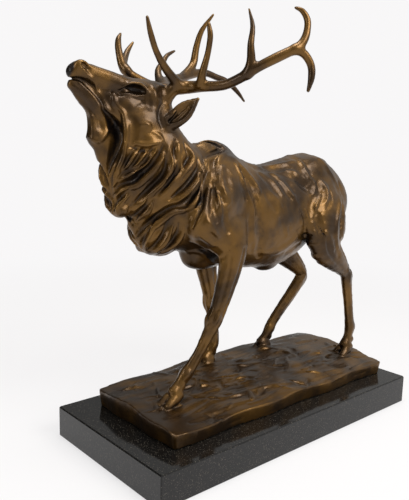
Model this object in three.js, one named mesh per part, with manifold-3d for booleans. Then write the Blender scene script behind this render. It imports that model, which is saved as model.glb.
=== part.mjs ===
// A bugling stag in bronze, cast in one with its rough ground, on a polished granite plinth.
// Millimetres, +Z up, the head towards -X, the origin at the centre of the plinth's underside.
import * as THREE from "three";
import { mergeVertices } from "three/addons/utils/BufferGeometryUtils.js";
import Module from "manifold-3d";

// Plinth
const PLINTH_LENGTH = 400;
const PLINTH_WIDTH = 191;
const PLINTH_HEIGHT = 35;
const PLINTH_CHAMFER = 1.2;

// Cast ground, with the plinth left bare around it
const SEAT_GAP = 0.3;
const HEAD_END_MARGIN = 34;
const TAIL_END_MARGIN = 14;
const NEAR_MARGIN = 26.5;
const FAR_MARGIN = 20.5;
const GROUND_EDGE = 15;
const GROUND_SWELL = 9;
const GROUND_LUMPS = 1.3;
const STROKE_DEPTH = 1.5;
const STROKES = 46;
const CORNER_RADIUS = 5;
const UNDERCUT = 3;
const CUT_OFF = 4;

// Figure: its rows below count in shares of its height, from the plinth's top to the highest tine
const FIGURE_HEIGHT = 445;
const SHARES_HIGH = 445;
const SHARE = FIGURE_HEIGHT / SHARES_HIGH;
const toShares = (size) => size / SHARE;

// Modelling: the wax is a distance field on a grid, and its skin is thinned to few faces
const WAX_STEP = 2.5;
const WAX_FACES = 7400;
const ANTLER_SIDES = 7;
const ROWS_PER_SPAN = 3;

// A stroke takes only the places that are this close to the skin
const LAY_REACH = 9;

// The wax is worked inside this box around the figure
const FIGURE_LOW = [-226, -82];
const FIGURE_HIGH = [200, 88, 385];
const SLACK = 8;

// Directions of the turned head, from the poll
const HEAD_TURN = 14;
const HEAD_LIFT = 8;
const POLL = [-107, 20, 353];
const MIDDLE = 12;
const ACROSS = [0, 1, 0];

const radians = THREE.MathUtils.degToRad;
const turn = radians(HEAD_TURN);
const lift = radians(HEAD_LIFT);
const FORWARD = [-Math.cos(turn) * Math.cos(lift), Math.sin(turn) * Math.cos(lift), Math.sin(lift)];
const LEFT = [-Math.sin(turn), -Math.cos(turn), 0];
const UPWARD = [Math.cos(turn) * Math.sin(lift), -Math.sin(turn) * Math.sin(lift), Math.cos(lift)];
const HEAD_AXES = [FORWARD, LEFT, UPWARD];

// Small vector sums
const plus = (a, b, k = 1) => a.map((v, i) => v + k * b[i]);
const dot = (a, b) => a[0] * b[0] + a[1] * b[1] + a[2] * b[2];
const cross = (a, b) => [
  a[1] * b[2] - a[2] * b[1],
  a[2] * b[0] - a[0] * b[2],
  a[0] * b[1] - a[1] * b[0],
];
const length = (a) => Math.sqrt(dot(a, a));
const unit = (a) => a.map((v) => v / (length(a) || 1));
const mix = (a, b, k) => a + (b - a) * k;

// A place or a row given forward of, left of and above the poll, in the figure's own frame
function onHead([a, s, u, ...sizes]) {
  const place = plus(plus(plus(POLL, FORWARD, a), LEFT, s), UPWARD, u);
  return [...place, ...sizes];
}

// Rows joined by a smooth curve through each of them
function smooth(rows, steps = ROWS_PER_SPAN) {
  if (rows.length < 3) return rows;
  const first = rows[0].map((v, i) => 2 * v - rows[1][i]);
  const last = rows.at(-1).map((v, i) => 2 * v - rows.at(-2)[i]);
  const all = [first, ...rows, last];
  const out = [];
  for (let i = 1; i < all.length - 2; i++) {
    for (let n = 0; n < steps; n++) {
      const t = n / steps;
      out.push(
        all[i].map((p, j) => {
          const [o, q, r] = [all[i - 1][j], all[i + 1][j], all[i + 2][j]];
          const curve = (2 * o - 5 * p + 4 * q - r) * t * t + (3 * p - o - 3 * q + r) * t ** 3;
          return 0.5 * (2 * p + (q - o) * t + curve);
        }),
      );
    }
  }
  out.push(rows.at(-1));
  return out;
}

// The wax: values below zero are inside it
class Wax {
  constructor(low, high, step) {
    this.low = low;
    this.step = step;
    this.count = low.map((v, i) => Math.ceil((high[i] - v) / step) + 1);
    this.field = new Float32Array(this.count[0] * this.count[1] * this.count[2]).fill(60);
  }

  index(i, j, k) {
    return (i * this.count[1] + j) * this.count[2] + k;
  }

  // Changes the field at each grid point of a box
  each(low, high, change) {
    const first = low.map((v, i) => Math.max(0, Math.floor((v - this.low[i]) / this.step)));
    const last = high.map((v, i) =>
      Math.min(this.count[i] - 1, Math.ceil((v - this.low[i]) / this.step)),
    );
    for (let i = first[0]; i <= last[0]; i++) {
      const x = this.low[0] + i * this.step;
      for (let j = first[1]; j <= last[1]; j++) {
        const y = this.low[1] + j * this.step;
        for (let k = first[2]; k <= last[2]; k++) {
          change(this.index(i, j, k), x, y, this.low[2] + k * this.step);
        }
      }
    }
  }

  // Joins a shape on, or cuts it away, with a fillet about as wide as the blend
  merge(n, distance, blend, cut) {
    const f = this.field[n];
    const g = cut ? -distance : distance;
    const h = Math.max(blend - Math.abs(f - g), 0) / blend;
    const fillet = h * h * blend * 0.25;
    this.field[n] = cut ? Math.max(f, g) + fillet : Math.min(f, g) - fillet;
  }

  // The field between grid points
  sample(p) {
    const at = p.map((v, i) =>
      THREE.MathUtils.clamp((v - this.low[i]) / this.step, 0, this.count[i] - 1.001),
    );
    const [i, j, k] = at.map(Math.floor);
    const [a, b, c] = [at[0] - i, at[1] - j, at[2] - k];
    const f = (x, y, z) => this.field[this.index(i + x, j + y, k + z)];
    const near = mix(mix(f(0, 0, 0), f(0, 0, 1), c), mix(f(0, 1, 0), f(0, 1, 1), c), b);
    const far = mix(mix(f(1, 0, 0), f(1, 0, 1), c), mix(f(1, 1, 0), f(1, 1, 1), c), b);
    return mix(near, far, a);
  }

  // The way out of the wax at a place
  outward(p, reach = 3) {
    const way = [0, 1, 2].map((i) => {
      const step = [0, 0, 0];
      step[i] = reach;
      return this.sample(plus(p, step)) - this.sample(plus(p, step, -1));
    });
    return unit(way);
  }

  // A place near the skin, moved onto it
  settle(place, turns = 5) {
    let p = place;
    for (let n = 0; n < turns; n++) {
      p = plus(p, this.outward(p), -THREE.MathUtils.clamp(this.sample(p), -6, 6));
    }
    return p;
  }

  // Where a ray from inside leaves the wax, or a ray from outside meets it
  surface(from, way, stride = 1, reach = 120) {
    const start = this.sample(from) < 0;
    for (let d = stride; d < reach; d += stride) {
      const p = plus(from, way, d);
      if (this.sample(p) < 0 !== start) return p;
    }
    return null;
  }
}

// Distance to one stretch of a limb: an oval section that tapers between two rows
function stretch(a, b, side) {
  const along = plus(b, a, -1).slice(0, 3);
  const span = length(along);
  const t = unit(along);
  const s = unit(plus(side, t, -dot(side, t)));
  const u = cross(t, s);
  return (x, y, z) => {
    const v = [x - a[0], y - a[1], z - a[2]];
    const reach = dot(v, t);
    const k = THREE.MathUtils.clamp(reach / span, 0, 1);
    const width = mix(a[3], b[3], k);
    const depth = mix(a[4], b[4], k);
    const least = Math.min(width, depth);
    const [vs, vu, vt] = [dot(v, s), dot(v, u), reach - k * span];
    const q = Math.hypot(vs / width, vu / depth, vt / least) + 1e-6;
    return q < 1 ? (q - 1) * least : Math.hypot(vs, vu, vt) * (1 - 1 / q);
  };
}

// A limb through rows of x, y, z, half width along its side direction and half depth
function limb(wax, rows, { side = ACROSS, blend = 8, cut = false, steps = ROWS_PER_SPAN } = {}) {
  const sides = Array.isArray(side[0]) ? side : rows.map(() => side);
  const path = smooth(rows.map((r, i) => [...r.slice(0, 5), ...sides[i]]), steps);
  for (const r of path) {
    r[3] = Math.max(r[3], 0.3);
    r[4] = Math.max(r[4], 0.3);
  }
  const margin = blend + 2;
  const shape = new Map();
  for (let i = 0; i < path.length - 1; i++) {
    const [a, b] = [path[i], path[i + 1]];
    const reach = Math.max(a[3], a[4], b[3], b[4]) + margin;
    const low = a.slice(0, 3).map((v, j) => Math.min(v, b[j]) - reach);
    const high = a.slice(0, 3).map((v, j) => Math.max(v, b[j]) + reach);
    const distance = stretch(a, b, plus(a.slice(5), b.slice(5)));
    wax.each(low, high, (n, x, y, z) => {
      const d = distance(x, y, z);
      if (d < margin) shape.set(n, Math.min(shape.get(n) ?? 60, d));
    });
  }
  for (const [n, d] of shape) wax.merge(n, d, blend, cut);
}

// An oval dab of wax, or a hollow pressed with one
function dab(wax, centre, radii, { axes = null, blend = 6, cut = false } = {}) {
  const reach = Math.max(...radii) + blend + 2;
  const low = centre.map((v) => v - reach);
  const high = centre.map((v) => v + reach);
  const least = Math.min(...radii);
  wax.each(low, high, (n, x, y, z) => {
    const v = [x - centre[0], y - centre[1], z - centre[2]];
    const w = axes ? axes.map((axis) => dot(v, axis)) : v;
    const q = Math.hypot(w[0] / radii[0], w[1] / radii[1], w[2] / radii[2]) + 1e-6;
    const d = q < 1 ? (q - 1) * least : length(v) * (1 - 1 / q);
    wax.merge(n, d, blend, cut);
  });
}

// Takes the jolts out of a path
function even(rows) {
  const eased = (all) =>
    all.map((row, i) => {
      if (i === 0 || i === all.length - 1) return row;
      return row.map((v, j) => (all[i - 1][j] + 2 * v + all[i + 1][j]) / 4);
    });
  return eased(eased(rows));
}

// A ridge laid on the skin along rough places, or with a rise below zero a groove pressed into it;
// shift moves the stroke sideways on the skin
function lay(wax, rough, { width, rise, shift = 0, blend = 2, ends = 0.3, peak = 0.5 }) {
  const heading = (path, i) => plus(path[Math.min(i + 1, path.length - 1)], path[Math.max(i - 1, 0)], -1);
  const sideways = (path, out) => path.map((p, i) => unit(cross(out[i], heading(path, i))));
  const ways = (path) => even(path.map((p) => wax.outward(p)));
  const held = rough.filter((p) => Math.abs(wax.sample(p)) < LAY_REACH);
  if (held.length < 2) return;
  let path = even(smooth(held).map((p) => wax.settle(p)));
  let out = ways(path);
  if (shift) {
    const across = sideways(path, out);
    path = even(path.map((p, i) => wax.settle(plus(p, across[i], shift))));
    out = ways(path);
  }
  const sunk = 0.8 * rise;
  const rows = path.map((p, i) => {
    const k = ((i + 0.5) / path.length) ** (Math.log(0.5) / Math.log(peak));
    const swell = mix(ends, 1, Math.sin(Math.PI * k));
    return [...plus(p, out[i], -sunk * swell), width * swell, 1.8 * Math.abs(rise) * swell];
  });
  limb(wax, rows, { side: sideways(path, out), blend, cut: rise < 0, steps: 1 });
}

// Barrel, withers, hips, shoulders and tail
function torso(wax) {
  const inMiddle = ([x, z, ...sizes]) => [x, MIDDLE, z, ...sizes];
  const barrel = [
    [-86, 212, 29, 36],
    [-54, 224, 38, 60],
    [-20, 216, 41, 62],
    [10, 211, 43, 60.5],
    [42, 211, 43, 62],
    [72, 222, 40, 59],
    [102, 233, 37, 54],
    [130, 231, 33, 44],
    [151, 225, 27, 33],
  ];
  limb(wax, barrel.map(inMiddle), { blend: 10 });
  dab(wax, [-60, MIDDLE, 276], [26, 13, 23], { blend: 14 });
  dab(wax, [-46, MIDDLE, 273.5], [22, 13, 21], { blend: 10 });
  dab(wax, [-66, MIDDLE, 170], [24, 15, 14], { blend: 10 });
  dab(wax, [-80, MIDDLE, 178], [12, 13, 14], { blend: 8 });
  dab(wax, [36, MIDDLE - 4, 150], [16, 6, 6], { blend: 8 });
  const blade = [
    [-38, 18, 270, 8, 16], [-56, 31, 248, 10, 20], [-76, 36, 227, 11, 20], [-92, 33, 211, 11, 14],
  ];
  const arm = [[-92, 32, 211, 13, 16], [-70, 35, 199, 13, 20], [-52, 34, 193, 11, 18]];
  for (const s of [-1, 1]) {
    const out = (rows) => rows.map(([x, y, ...rest]) => [x, MIDDLE + s * y, ...rest]);
    dab(wax, [100, MIDDLE + s * 20, 269], [20, 10, 12], { blend: 12 });
    dab(wax, [146, MIDDLE + s * 19, 219], [17, 13, 30], { blend: 10 });
    limb(wax, out(blade), { blend: 12 });
    limb(wax, out(arm), { blend: 12 });
  }
  const tail = [[146, 253, 8, 8], [160, 247, 7, 7], [169, 234, 6, 6], [172, 218, 4.5, 5]];
  limb(wax, tail.map(inMiddle));
}

// Nape, core, mane and gullet, with sections that turn from the head's side to the body's
function neck(wax) {
  const nape = [
    [-118, 20, 327, 15, 11.5], [-117, 20, 307, 20, 17], [-111, 18, 285, 26, 25],
    [-92, 15, 261, 29, 32], [-68, 12, 251, 30, 38],
  ];
  limb(wax, nape, { side: [LEFT, LEFT, LEFT, ACROSS, ACROSS], blend: 10 });
  const maneFront = [
    [-150.5, 27, 303, 19, 17.5], [-154.5, 29, 277, 21, 19], [-153, 28, 251, 21, 22],
    [-135, 26, 223, 22, 16], [-123, 22, 201, 25, 25], [-107, 18, 203, 25, 21.5],
  ];
  limb(wax, maneFront, { side: [LEFT, LEFT, LEFT, LEFT, ACROSS, ACROSS], blend: 10 });
  dab(wax, [-165, 25, 227], [10, 12, 8.5], { blend: 6 });
  const core = [
    [-132, 23, 315, 21, 22], [-131, 23, 287, 25, 29], [-122, 21, 257, 29, 34], [-102, 17, 233, 31, 38],
  ];
  limb(wax, core, { side: [LEFT, LEFT, LEFT, ACROSS], blend: 10 });
  const gullet = [
    [80, 0, -31, 7, 7], [73, 0, -46, 8, 9], [68, 0, -62, 8.5, 10],
    [57, 0, -80, 9.5, 12], [46, 0, -100, 12, 14.5], [37, 0, -122, 14, 15],
  ];
  limb(wax, gullet.map(onHead), { side: LEFT });
  dab(wax, onHead([72, 0, -64]), [8.5, 8, 10], { axes: HEAD_AXES, blend: 5 });
  const throat = [[66, 0, -40, 7, 8], [60, 0, -56, 7, 9], [54, 0, -76, 7, 9]];
  limb(wax, throat.map(onHead), { side: LEFT, blend: 6 });
}

// Skull and lower jaw, before the carving of the face
function head(wax) {
  const skull = [
    [101, 0, -7.2, 7.5, 8], [96, 0, -6, 9, 9.8], [83, 0, -6.8, 9, 10], [62, 0, -9.6, 11.5, 10.5],
    [45, 0, -12.2, 15.5, 11.5], [30, 0, -13.8, 18, 14.5], [15, 0, -14, 15.5, 15], [6, 0, -13, 9.5, 9.5],
  ];
  limb(wax, skull.map(onHead), { side: LEFT, blend: 5 });
  const jaw = [
    [101, 0, -19.5, 5.5, 5], [96, 0, -22, 7, 6.5], [86, 0, -28.8, 8, 9], [70, 0, -36, 10, 12],
    [50, 0, -38, 14, 16], [32, 0, -43, 17, 19], [18, 0, -43, 18, 21],
  ];
  limb(wax, jaw.map(onHead), { side: LEFT, blend: 4 });
  const cheeks = [[80, 0, -20, 3, 3.5], [72, 0, -23, 6.5, 6], [60, 0, -25, 11.5, 9], [48, 0, -27, 14, 10]];
  limb(wax, cheeks.map(onHead), { side: LEFT, blend: 4 });
}

// Folds of the face, in places forward of, beside and above the poll
const FACE_FOLDS = [
  {
    width: 7,
    rise: -8,
    path: [
      [71, 9, -37], [63, 9, -44], [57, 11, -52], [55, 15, -62], [56, 15, -74], [58, 13, -86],
      [60, 11, -99],
    ],
  },
  {
    width: 4.2,
    rise: 3.8,
    path: [
      [62, 9, -24], [57, 11, -31], [52, 13, -35], [49, 16, -42], [47, 20, -52], [47, 21, -63],
      [49, 21, -73], [51, 19, -84], [53, 17, -96], [55, 14, -108],
    ],
  },
  { width: 5, rise: -1.4, path: [[42, 20, -42], [40, 23, -54], [41, 23, -66]] },
  {
    width: 2.4,
    rise: 2,
    path: [
      [58, 9, -18], [53, 13, -13], [49, 15, -9], [44, 15, -6.5], [38, 16, -6.5], [33, 17, -9],
      [31, 18, -15],
    ],
  },
  { width: 3, rise: 0.8, path: [[86, 7, 1], [74, 8, -2], [62, 9, -3], [52, 11, -3]] },
  { width: 3.2, rise: 1.8, path: [[34, 22, -47], [30, 24, -45], [27, 24, -47], [28, 24, -51]] },
  {
    width: 4,
    rise: 3.2,
    path: [
      [38, 24, -65], [30, 26, -65], [25, 27, -64], [18, 27, -61], [11, 27, -60],
    ],
  },
  { width: 2.5, rise: 1.6, path: [[22, 26, -52], [15, 26, -54], [11, 27, -59]] },
  { width: 3.2, rise: -3.8, path: [[43, 23, -69], [35, 24, -71], [28, 26, -72], [20, 27, -69]] },
  { width: 3.5, rise: 2.2, path: [[61, 6, -20], [60, 8, -26], [59, 11, -32]] },
  { width: 2.6, rise: 1.6, path: [[84, 4, -37], [80, 6, -44], [79, 6, -52], [77, 7, -60], [76, 7, -67]] },
  { width: 3, rise: 2, path: [[79, 4, -66], [76, 7, -68], [71, 9, -69], [66, 10, -64], [62, 9, -57]] },
  { width: 4, rise: -2, path: [[72, 8, -48], [70, 9, -55]] },
  { width: 3, rise: -2, path: [[97, 4, -28], [91, 6, -33], [84, 7, -39], [78, 8, -44]] },
  { width: 2.6, rise: 1.3, path: [[24, 16, -4], [24, 17, -11], [22, 18, -18]] },
  { width: 3.4, rise: -0.8, path: [[29, 18, -16], [28, 19, -23], [27, 21, -31]] },
  { width: 2.6, rise: -2.4, path: [[12, 16, -22], [16, 20, -29], [17, 23, -37], [13, 25, -45]] },
  { width: 4.5, rise: -4.5, path: [[37, 24, -102], [32, 25, -96], [27, 26, -93], [22, 27, -91]] },
];
const MOUTH = [
  [108, 0, -14.5, 3, 1], [102, 4, -14, 3.4, 1.4], [95, 7.5, -13.8, 5.5, 2.4], [87, 8, -17, 6, 3.2],
  [80, 8.5, -22.5, 5, 3], [74, 9.5, -28.5, 3.4, 2.2], [70, 10.5, -35, 2, 1.4],
];
const EYE = [
  [59, 10.5, -18, 1, 0.8], [53, 13, -15.5, 5, 2.4], [46, 15, -13, 7.5, 4.4], [40, 17, -12.8, 8, 5],
  [35, 18.5, -13.6, 5, 3.4],
];
const NOSTRIL = [[96, 8.6, -0.6, 2, 1.6], [92.5, 9.4, -1.4, 4, 2.6], [88.5, 9.4, -3, 2.2, 1.6]];

// Cheeks, eyes, nostrils, mouth and tongue, the same on both sides
function face(wax) {
  for (const s of [-1, 1]) {
    const side = (rows) => rows.map(([a, b, ...rest]) => onHead([a, s * b, ...rest]));
    const swellings = [
      [[32, 18, -46], [15, 5.4, 17], 12],
      [[24, 17, -20], [8, 3.6, 8], 6],
      [[45, 13, -28], [12, 4, 8], 6],
      [[96, 6, -0.5], [7, 4.5, 5.5], 3],
      [[21, 24.5, -58], [9, 4, 5], 3],
    ];
    for (const [place, radii, blend] of swellings) {
      dab(wax, side([place])[0], radii, { axes: HEAD_AXES, blend });
    }
    for (const { path, ...how } of FACE_FOLDS) lay(wax, side(path), how);
    for (const rows of [MOUTH, EYE, NOSTRIL]) limb(wax, side(rows), { side: LEFT, blend: 1, cut: true });
    ear(wax, s);
  }
  const tongue = [[98, 0, -14, 2.4, 2], [86, 0, -19, 3.4, 3.4], [73, 0, -27, 5, 5]];
  limb(wax, tongue.map(onHead), { side: LEFT, blend: 2 });
}

// A leaf-shaped ear, scooped on the side that faces out
function ear(wax, s) {
  const base = onHead([4, s * 22, -40]);
  const tip = onHead([-12, s * 46, -13.5]);
  const way = unit(plus(tip, base, -1));
  const across = unit(cross(way, UPWARD));
  const front = dot(across, LEFT) * s < 0 ? across.map((v) => -v) : across;
  const width = unit(cross(way, front));
  const place = (share, out) => plus(plus(base, plus(tip, base, -1), share), front, out);
  const row = (share, out, ...sizes) => [...place(share, out), ...sizes];
  const leaf = [row(-0.12, -1, 7, 7), row(0.25, -0.6, 10, 5.6), row(0.6, -0.6, 9.5, 4.8), row(1, 0, 2, 2)];
  limb(wax, leaf, { side: width, blend: 3 });
  const scoop = [row(0.1, 3.6, 3, 3), row(0.36, 3.8, 7, 4.4), row(0.66, 3.4, 6, 3.4), row(0.92, 3, 1.5, 1)];
  limb(wax, scoop, { side: width, blend: 1.5, cut: true });
}

// Legs, each from the body down to the pastern, and the place of its hoof
const LEGS = {
  nearHind: {
    rows: [
      [114, -5, 245, 20, 28], [109, -17, 221, 21, 38], [102, -27, 197, 17, 38],
      [101, -31, 175, 13, 26], [119, -32, 157, 10.5, 17.5], [137, -31, 144, 8, 12],
      [148, -30, 134, 6.5, 9.5], [152.5, -29, 122, 6, 8.5], [157, -28.5, 105, 5.7, 7.8],
      [162.5, -28, 83, 5.4, 7.6], [167, -27, 65, 5.6, 7.8], [170, -26.5, 55, 6.3, 8.4],
      [167, -26, 43, 5.2, 6.4], [162.5, -26, 33, 7, 8.7],
    ],
    hoof: [159, -25, 26],
  },
  farHind: {
    rows: [
      [120, 30, 255, 20, 32], [110, 40, 227, 21, 40], [90, 45, 197, 17, 34], [92, 45, 173, 13, 26],
      [108, 41, 153, 10.5, 17.5], [127, 38, 137, 8.5, 12.5], [140, 37, 124, 7, 9.5],
      [136.5, 38, 113, 6, 9.4], [123.5, 40, 96, 6, 9.2], [107, 43, 76, 5.6, 8.4],
      [94.5, 46, 59, 5.6, 7.8], [90, 46.5, 51, 6.3, 8.2], [83, 47, 41, 5.2, 6.4],
      [77.5, 48, 33, 7, 8.6],
    ],
    hoof: [76, 49, 27],
  },
  nearFore: {
    rows: [
      [-60, -22, 205, 12, 26], [-56, -28, 187, 12, 20], [-60, -30, 165, 10.5, 15],
      [-67, -29, 140, 9, 12], [-74, -27, 117, 7.5, 10], [-79, -25, 104, 8, 9.5],
      [-84, -23, 91, 6, 7.7], [-92.5, -20, 73, 5.3, 6.8], [-101, -17, 59, 5.8, 7],
      [-107, -16, 51, 6.4, 7.8], [-115, -15, 41, 5.4, 6.4], [-121, -15, 33, 7, 9],
    ],
    hoof: [-127, -14, 26],
  },
  farFore: {
    rows: [
      [-50, 44, 205, 12, 26], [-42, 46, 187, 12, 22], [-31, 47, 165, 11, 17.5],
      [-24, 47, 137, 9, 13], [-18.5, 47, 113, 8, 10.5], [-16, 47, 99, 8, 10], [-14, 47, 85, 6, 8],
      [-12, 47, 69, 5.2, 7], [-11, 47, 55, 5.8, 7], [-12, 48, 47, 6.4, 7.8],
      [-17.5, 48, 38, 5.4, 6.2], [-22, 48, 32, 7, 9],
    ],
    hoof: [-25, 49, 26],
  },
};

// Strokes on a leg: first and last row, and the turn around it from the far side towards the rear
const HIND_STROKES = [
  { first: 3, last: 6.4, turn: 140, width: 3.6, rise: -2.6 },
  { first: 2.5, last: 5, turn: 205, width: 3, rise: -1.6 },
  { first: 6, last: 7.4, turn: 90, width: 3.2, rise: 1.2 },
];
const FORE_STROKES = [
  { first: 1, last: 4, turn: 160, width: 3, rise: -2 },
  { first: 1.4, last: 4, turn: 215, width: 2.6, rise: -1.6 },
  { first: 4, last: 5.2, turn: 225, width: 3, rise: 1.4 },
];

// A leg with its cloven hoof and its two dewclaws
function leg(wax, { rows, hoof: [x, y, z] }) {
  limb(wax, rows, { blend: 6 });
  for (const s of [-1, 1]) {
    const toe = [
      [x + 9, y + s * 4.5, z + 4, 4.5, 6], [x + 1, y + s * 5, z, 5, 6.5], [x - 9, y + s * 5.5, z - 4, 4.5, 3],
    ];
    limb(wax, toe, { blend: 2 });
    dab(wax, [x + 12.5, y + s * 4, z + 13], [3.4, 3, 4], { blend: 3 });
  }
}

// A row between the numbered rows of a list
function between(rows, at) {
  const i = THREE.MathUtils.clamp(Math.floor(at), 0, rows.length - 2);
  return rows[i].map((v, j) => mix(v, rows[i + 1][j], at - i));
}

// Grooves and knobs of a leg, the same on its outer and its inner side
function sinews(wax, { rows }, strokes) {
  const count = 6;
  for (const { first, last, turn: around, ...how } of strokes) {
    for (const angle of [radians(around), radians(180 - around)]) {
      const path = [];
      for (let n = 0; n < count; n++) {
        const at = mix(first, last, n / (count - 1));
        const [x, y, z, width, depth] = between(rows, at);
        const [above, under] = [between(rows, at - 0.5), between(rows, at + 0.5)];
        const [, down, rear] = unit([0, under[2] - above[2], under[0] - above[0]]);
        const back = depth * Math.sin(angle);
        path.push([x - back * down, y + width * Math.cos(angle), z + back * rear]);
      }
      lay(wax, path, how);
    }
  }
}

// Muscles and folds of the near flank and of the chest, mirrored to the far side
const FLANK_FOLDS = [
  {
    width: 5,
    rise: 2,
    path: [
      [-65, -18, 272], [-71, -23, 260], [-74, -28, 251], [-71, -32, 244], [-68, -33, 237],
      [-72, -34, 230],
    ],
  },
  { width: 5, rise: 2.2, path: [[-81, -31, 243], [-83, -34, 232], [-79, -35, 222]] },
  { width: 3.4, rise: 2, path: [[-96, -30, 228], [-98, -33, 219], [-92, -36, 208], [-84, -38, 200]] },
  { width: 4.5, rise: -3, path: [[-84, -24, 256], [-88, -29, 243], [-90, -32, 232]] },
  {
    width: 4.2,
    rise: 2,
    path: [
      [-43, -16, 275], [-40, -22, 263], [-35, -25, 251], [-31, -27, 240], [-28, -28, 225],
      [-24, -28, 208], [-21, -25, 190],
    ],
  },
  { width: 7, rise: -2.2, path: [[-36, -18, 268], [-30, -22, 256], [-25, -24, 244], [-21, -27, 228]] },
  { width: 3, rise: 1.7, path: [[-38, -14, 274], [-27, -17, 265], [-18, -20, 256], [-13, -24, 244]] },
  {
    width: 3.6,
    rise: 1.8,
    path: [
      [5, 3, 272], [21, -10, 263], [29, -18, 255], [36, -24, 244], [44, -28, 232], [51, -30, 218],
      [56, -29, 204],
    ],
  },
  { width: 6, rise: -1.6, path: [[-2, -14, 264], [9, -22, 252], [18, -27, 238]] },
  { width: 3, rise: 1, path: [[7, -24, 243], [17, -28, 234], [25, -31, 220], [32, -31, 205]] },
  { width: 8, rise: -2.2, path: [[-20, -29, 224], [-15, -29, 206], [-10, -27, 190], [-9, -22, 177]] },
  { width: 5, rise: 1.3, path: [[-2, -20, 174], [19, -22, 172], [36, -25, 178], [51, -27, 189]] },
  { width: 3, rise: 1.3, path: [[-11, -4, 273], [23, 2, 272], [45, 0, 274], [67, -3, 278]] },
  { width: 4, rise: -1.4, path: [[-5, -8, 268], [23, -6, 268], [48, -8, 270]] },
  { width: 4, rise: 2.4, path: [[74, -6, 277], [73, -13, 268], [76, -20, 257]] },
  { width: 7, rise: -3.8, path: [[52, -18, 256], [63, -22, 250], [74, -25, 243]] },
  {
    width: 4.4,
    rise: 2.8,
    path: [
      [96, -24, 253], [100, -27, 246], [98, -31, 238], [93, -34, 231], [85, -34, 226],
    ],
  },
  { width: 3, rise: -2.2, path: [[88, -24, 252], [89, -28, 243], [84, -31, 236]] },
  { width: 3.4, rise: 2, path: [[57, -29, 226], [63, -30, 213], [67, -31, 201], [68, -31, 192]] },
  { width: 6, rise: -2.6, path: [[73, -33, 220], [76, -38, 205], [81, -41, 191]] },
  { width: 3.5, rise: -3.2, path: [[60, -26, 188], [66, -27, 188], [70, -31, 189]] },
  {
    width: 4.5,
    rise: 2.6,
    path: [
      [101, -12, 278], [114, -17, 268], [127, -22, 252], [128, -28, 237], [116, -36, 221],
      [106, -42, 205], [104, -44, 187], [111, -43, 172],
    ],
  },
  {
    width: 5,
    rise: -2.8,
    path: [
      [140, -14, 250], [136, -26, 234], [128, -34, 220], [118, -41, 204], [117, -43, 187],
    ],
  },
  { width: 4, rise: 1.8, path: [[86, -42, 193], [93, -44, 183], [101, -44, 170]] },
  { width: 2.6, rise: 2, path: [[-99, -11, 194], [-97, -21, 193], [-87, -21, 187]] },
  { width: 2.6, rise: 2, path: [[-94, 4, 180], [-86, -3, 181], [-74, -5, 176], [-59, -2, 163]] },
  { width: 2.6, rise: 1.8, path: [[-102, -28, 202], [-94, -30, 197], [-85, -30, 190]] },
];

function flanks(wax) {
  for (const s of [1, -1]) {
    for (const { path, ...how } of FLANK_FOLDS) {
      lay(wax, path.map(([x, y, z]) => [x, MIDDLE + s * (y - MIDDLE), z]), { ...how, blend: 3 });
    }
  }
}

// Axis of the neck, from under the jaw to the chest, and the ways to its throat and to its side
const NECK_AXIS = [[-134, 24, 300], [-132, 24, 276], [-124, 21, 248], [-108, 17, 222], [-88, 13, 205]];
const THROAT_WAY = [
  [-0.99, 0.1, 0.1], [-0.99, 0.1, -0.1], [-0.9, 0.1, -0.42], [-0.72, 0.1, -0.69], [-0.6, 0, -0.8],
];
const NECK_SIDE = [[-0.24, -0.97, 0], [-0.22, -0.97, 0], [-0.14, -0.99, 0], [-0.06, -1, 0], [0, -1, 0]];

// A place on the bare neck: a share of the way down it, and an angle from its side to the throat
function onNeck(bare, [share, angle], s) {
  const at = share * (NECK_AXIS.length - 1);
  const [centre, throat, side] = [NECK_AXIS, THROAT_WAY, NECK_SIDE].map((rows) => between(rows, at));
  const away = [side[0], side[1] * s, side[2]].map((v) => v * Math.cos(radians(angle)));
  return bare.surface(centre, unit(plus(away, throat, Math.sin(radians(angle)))));
}

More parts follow.
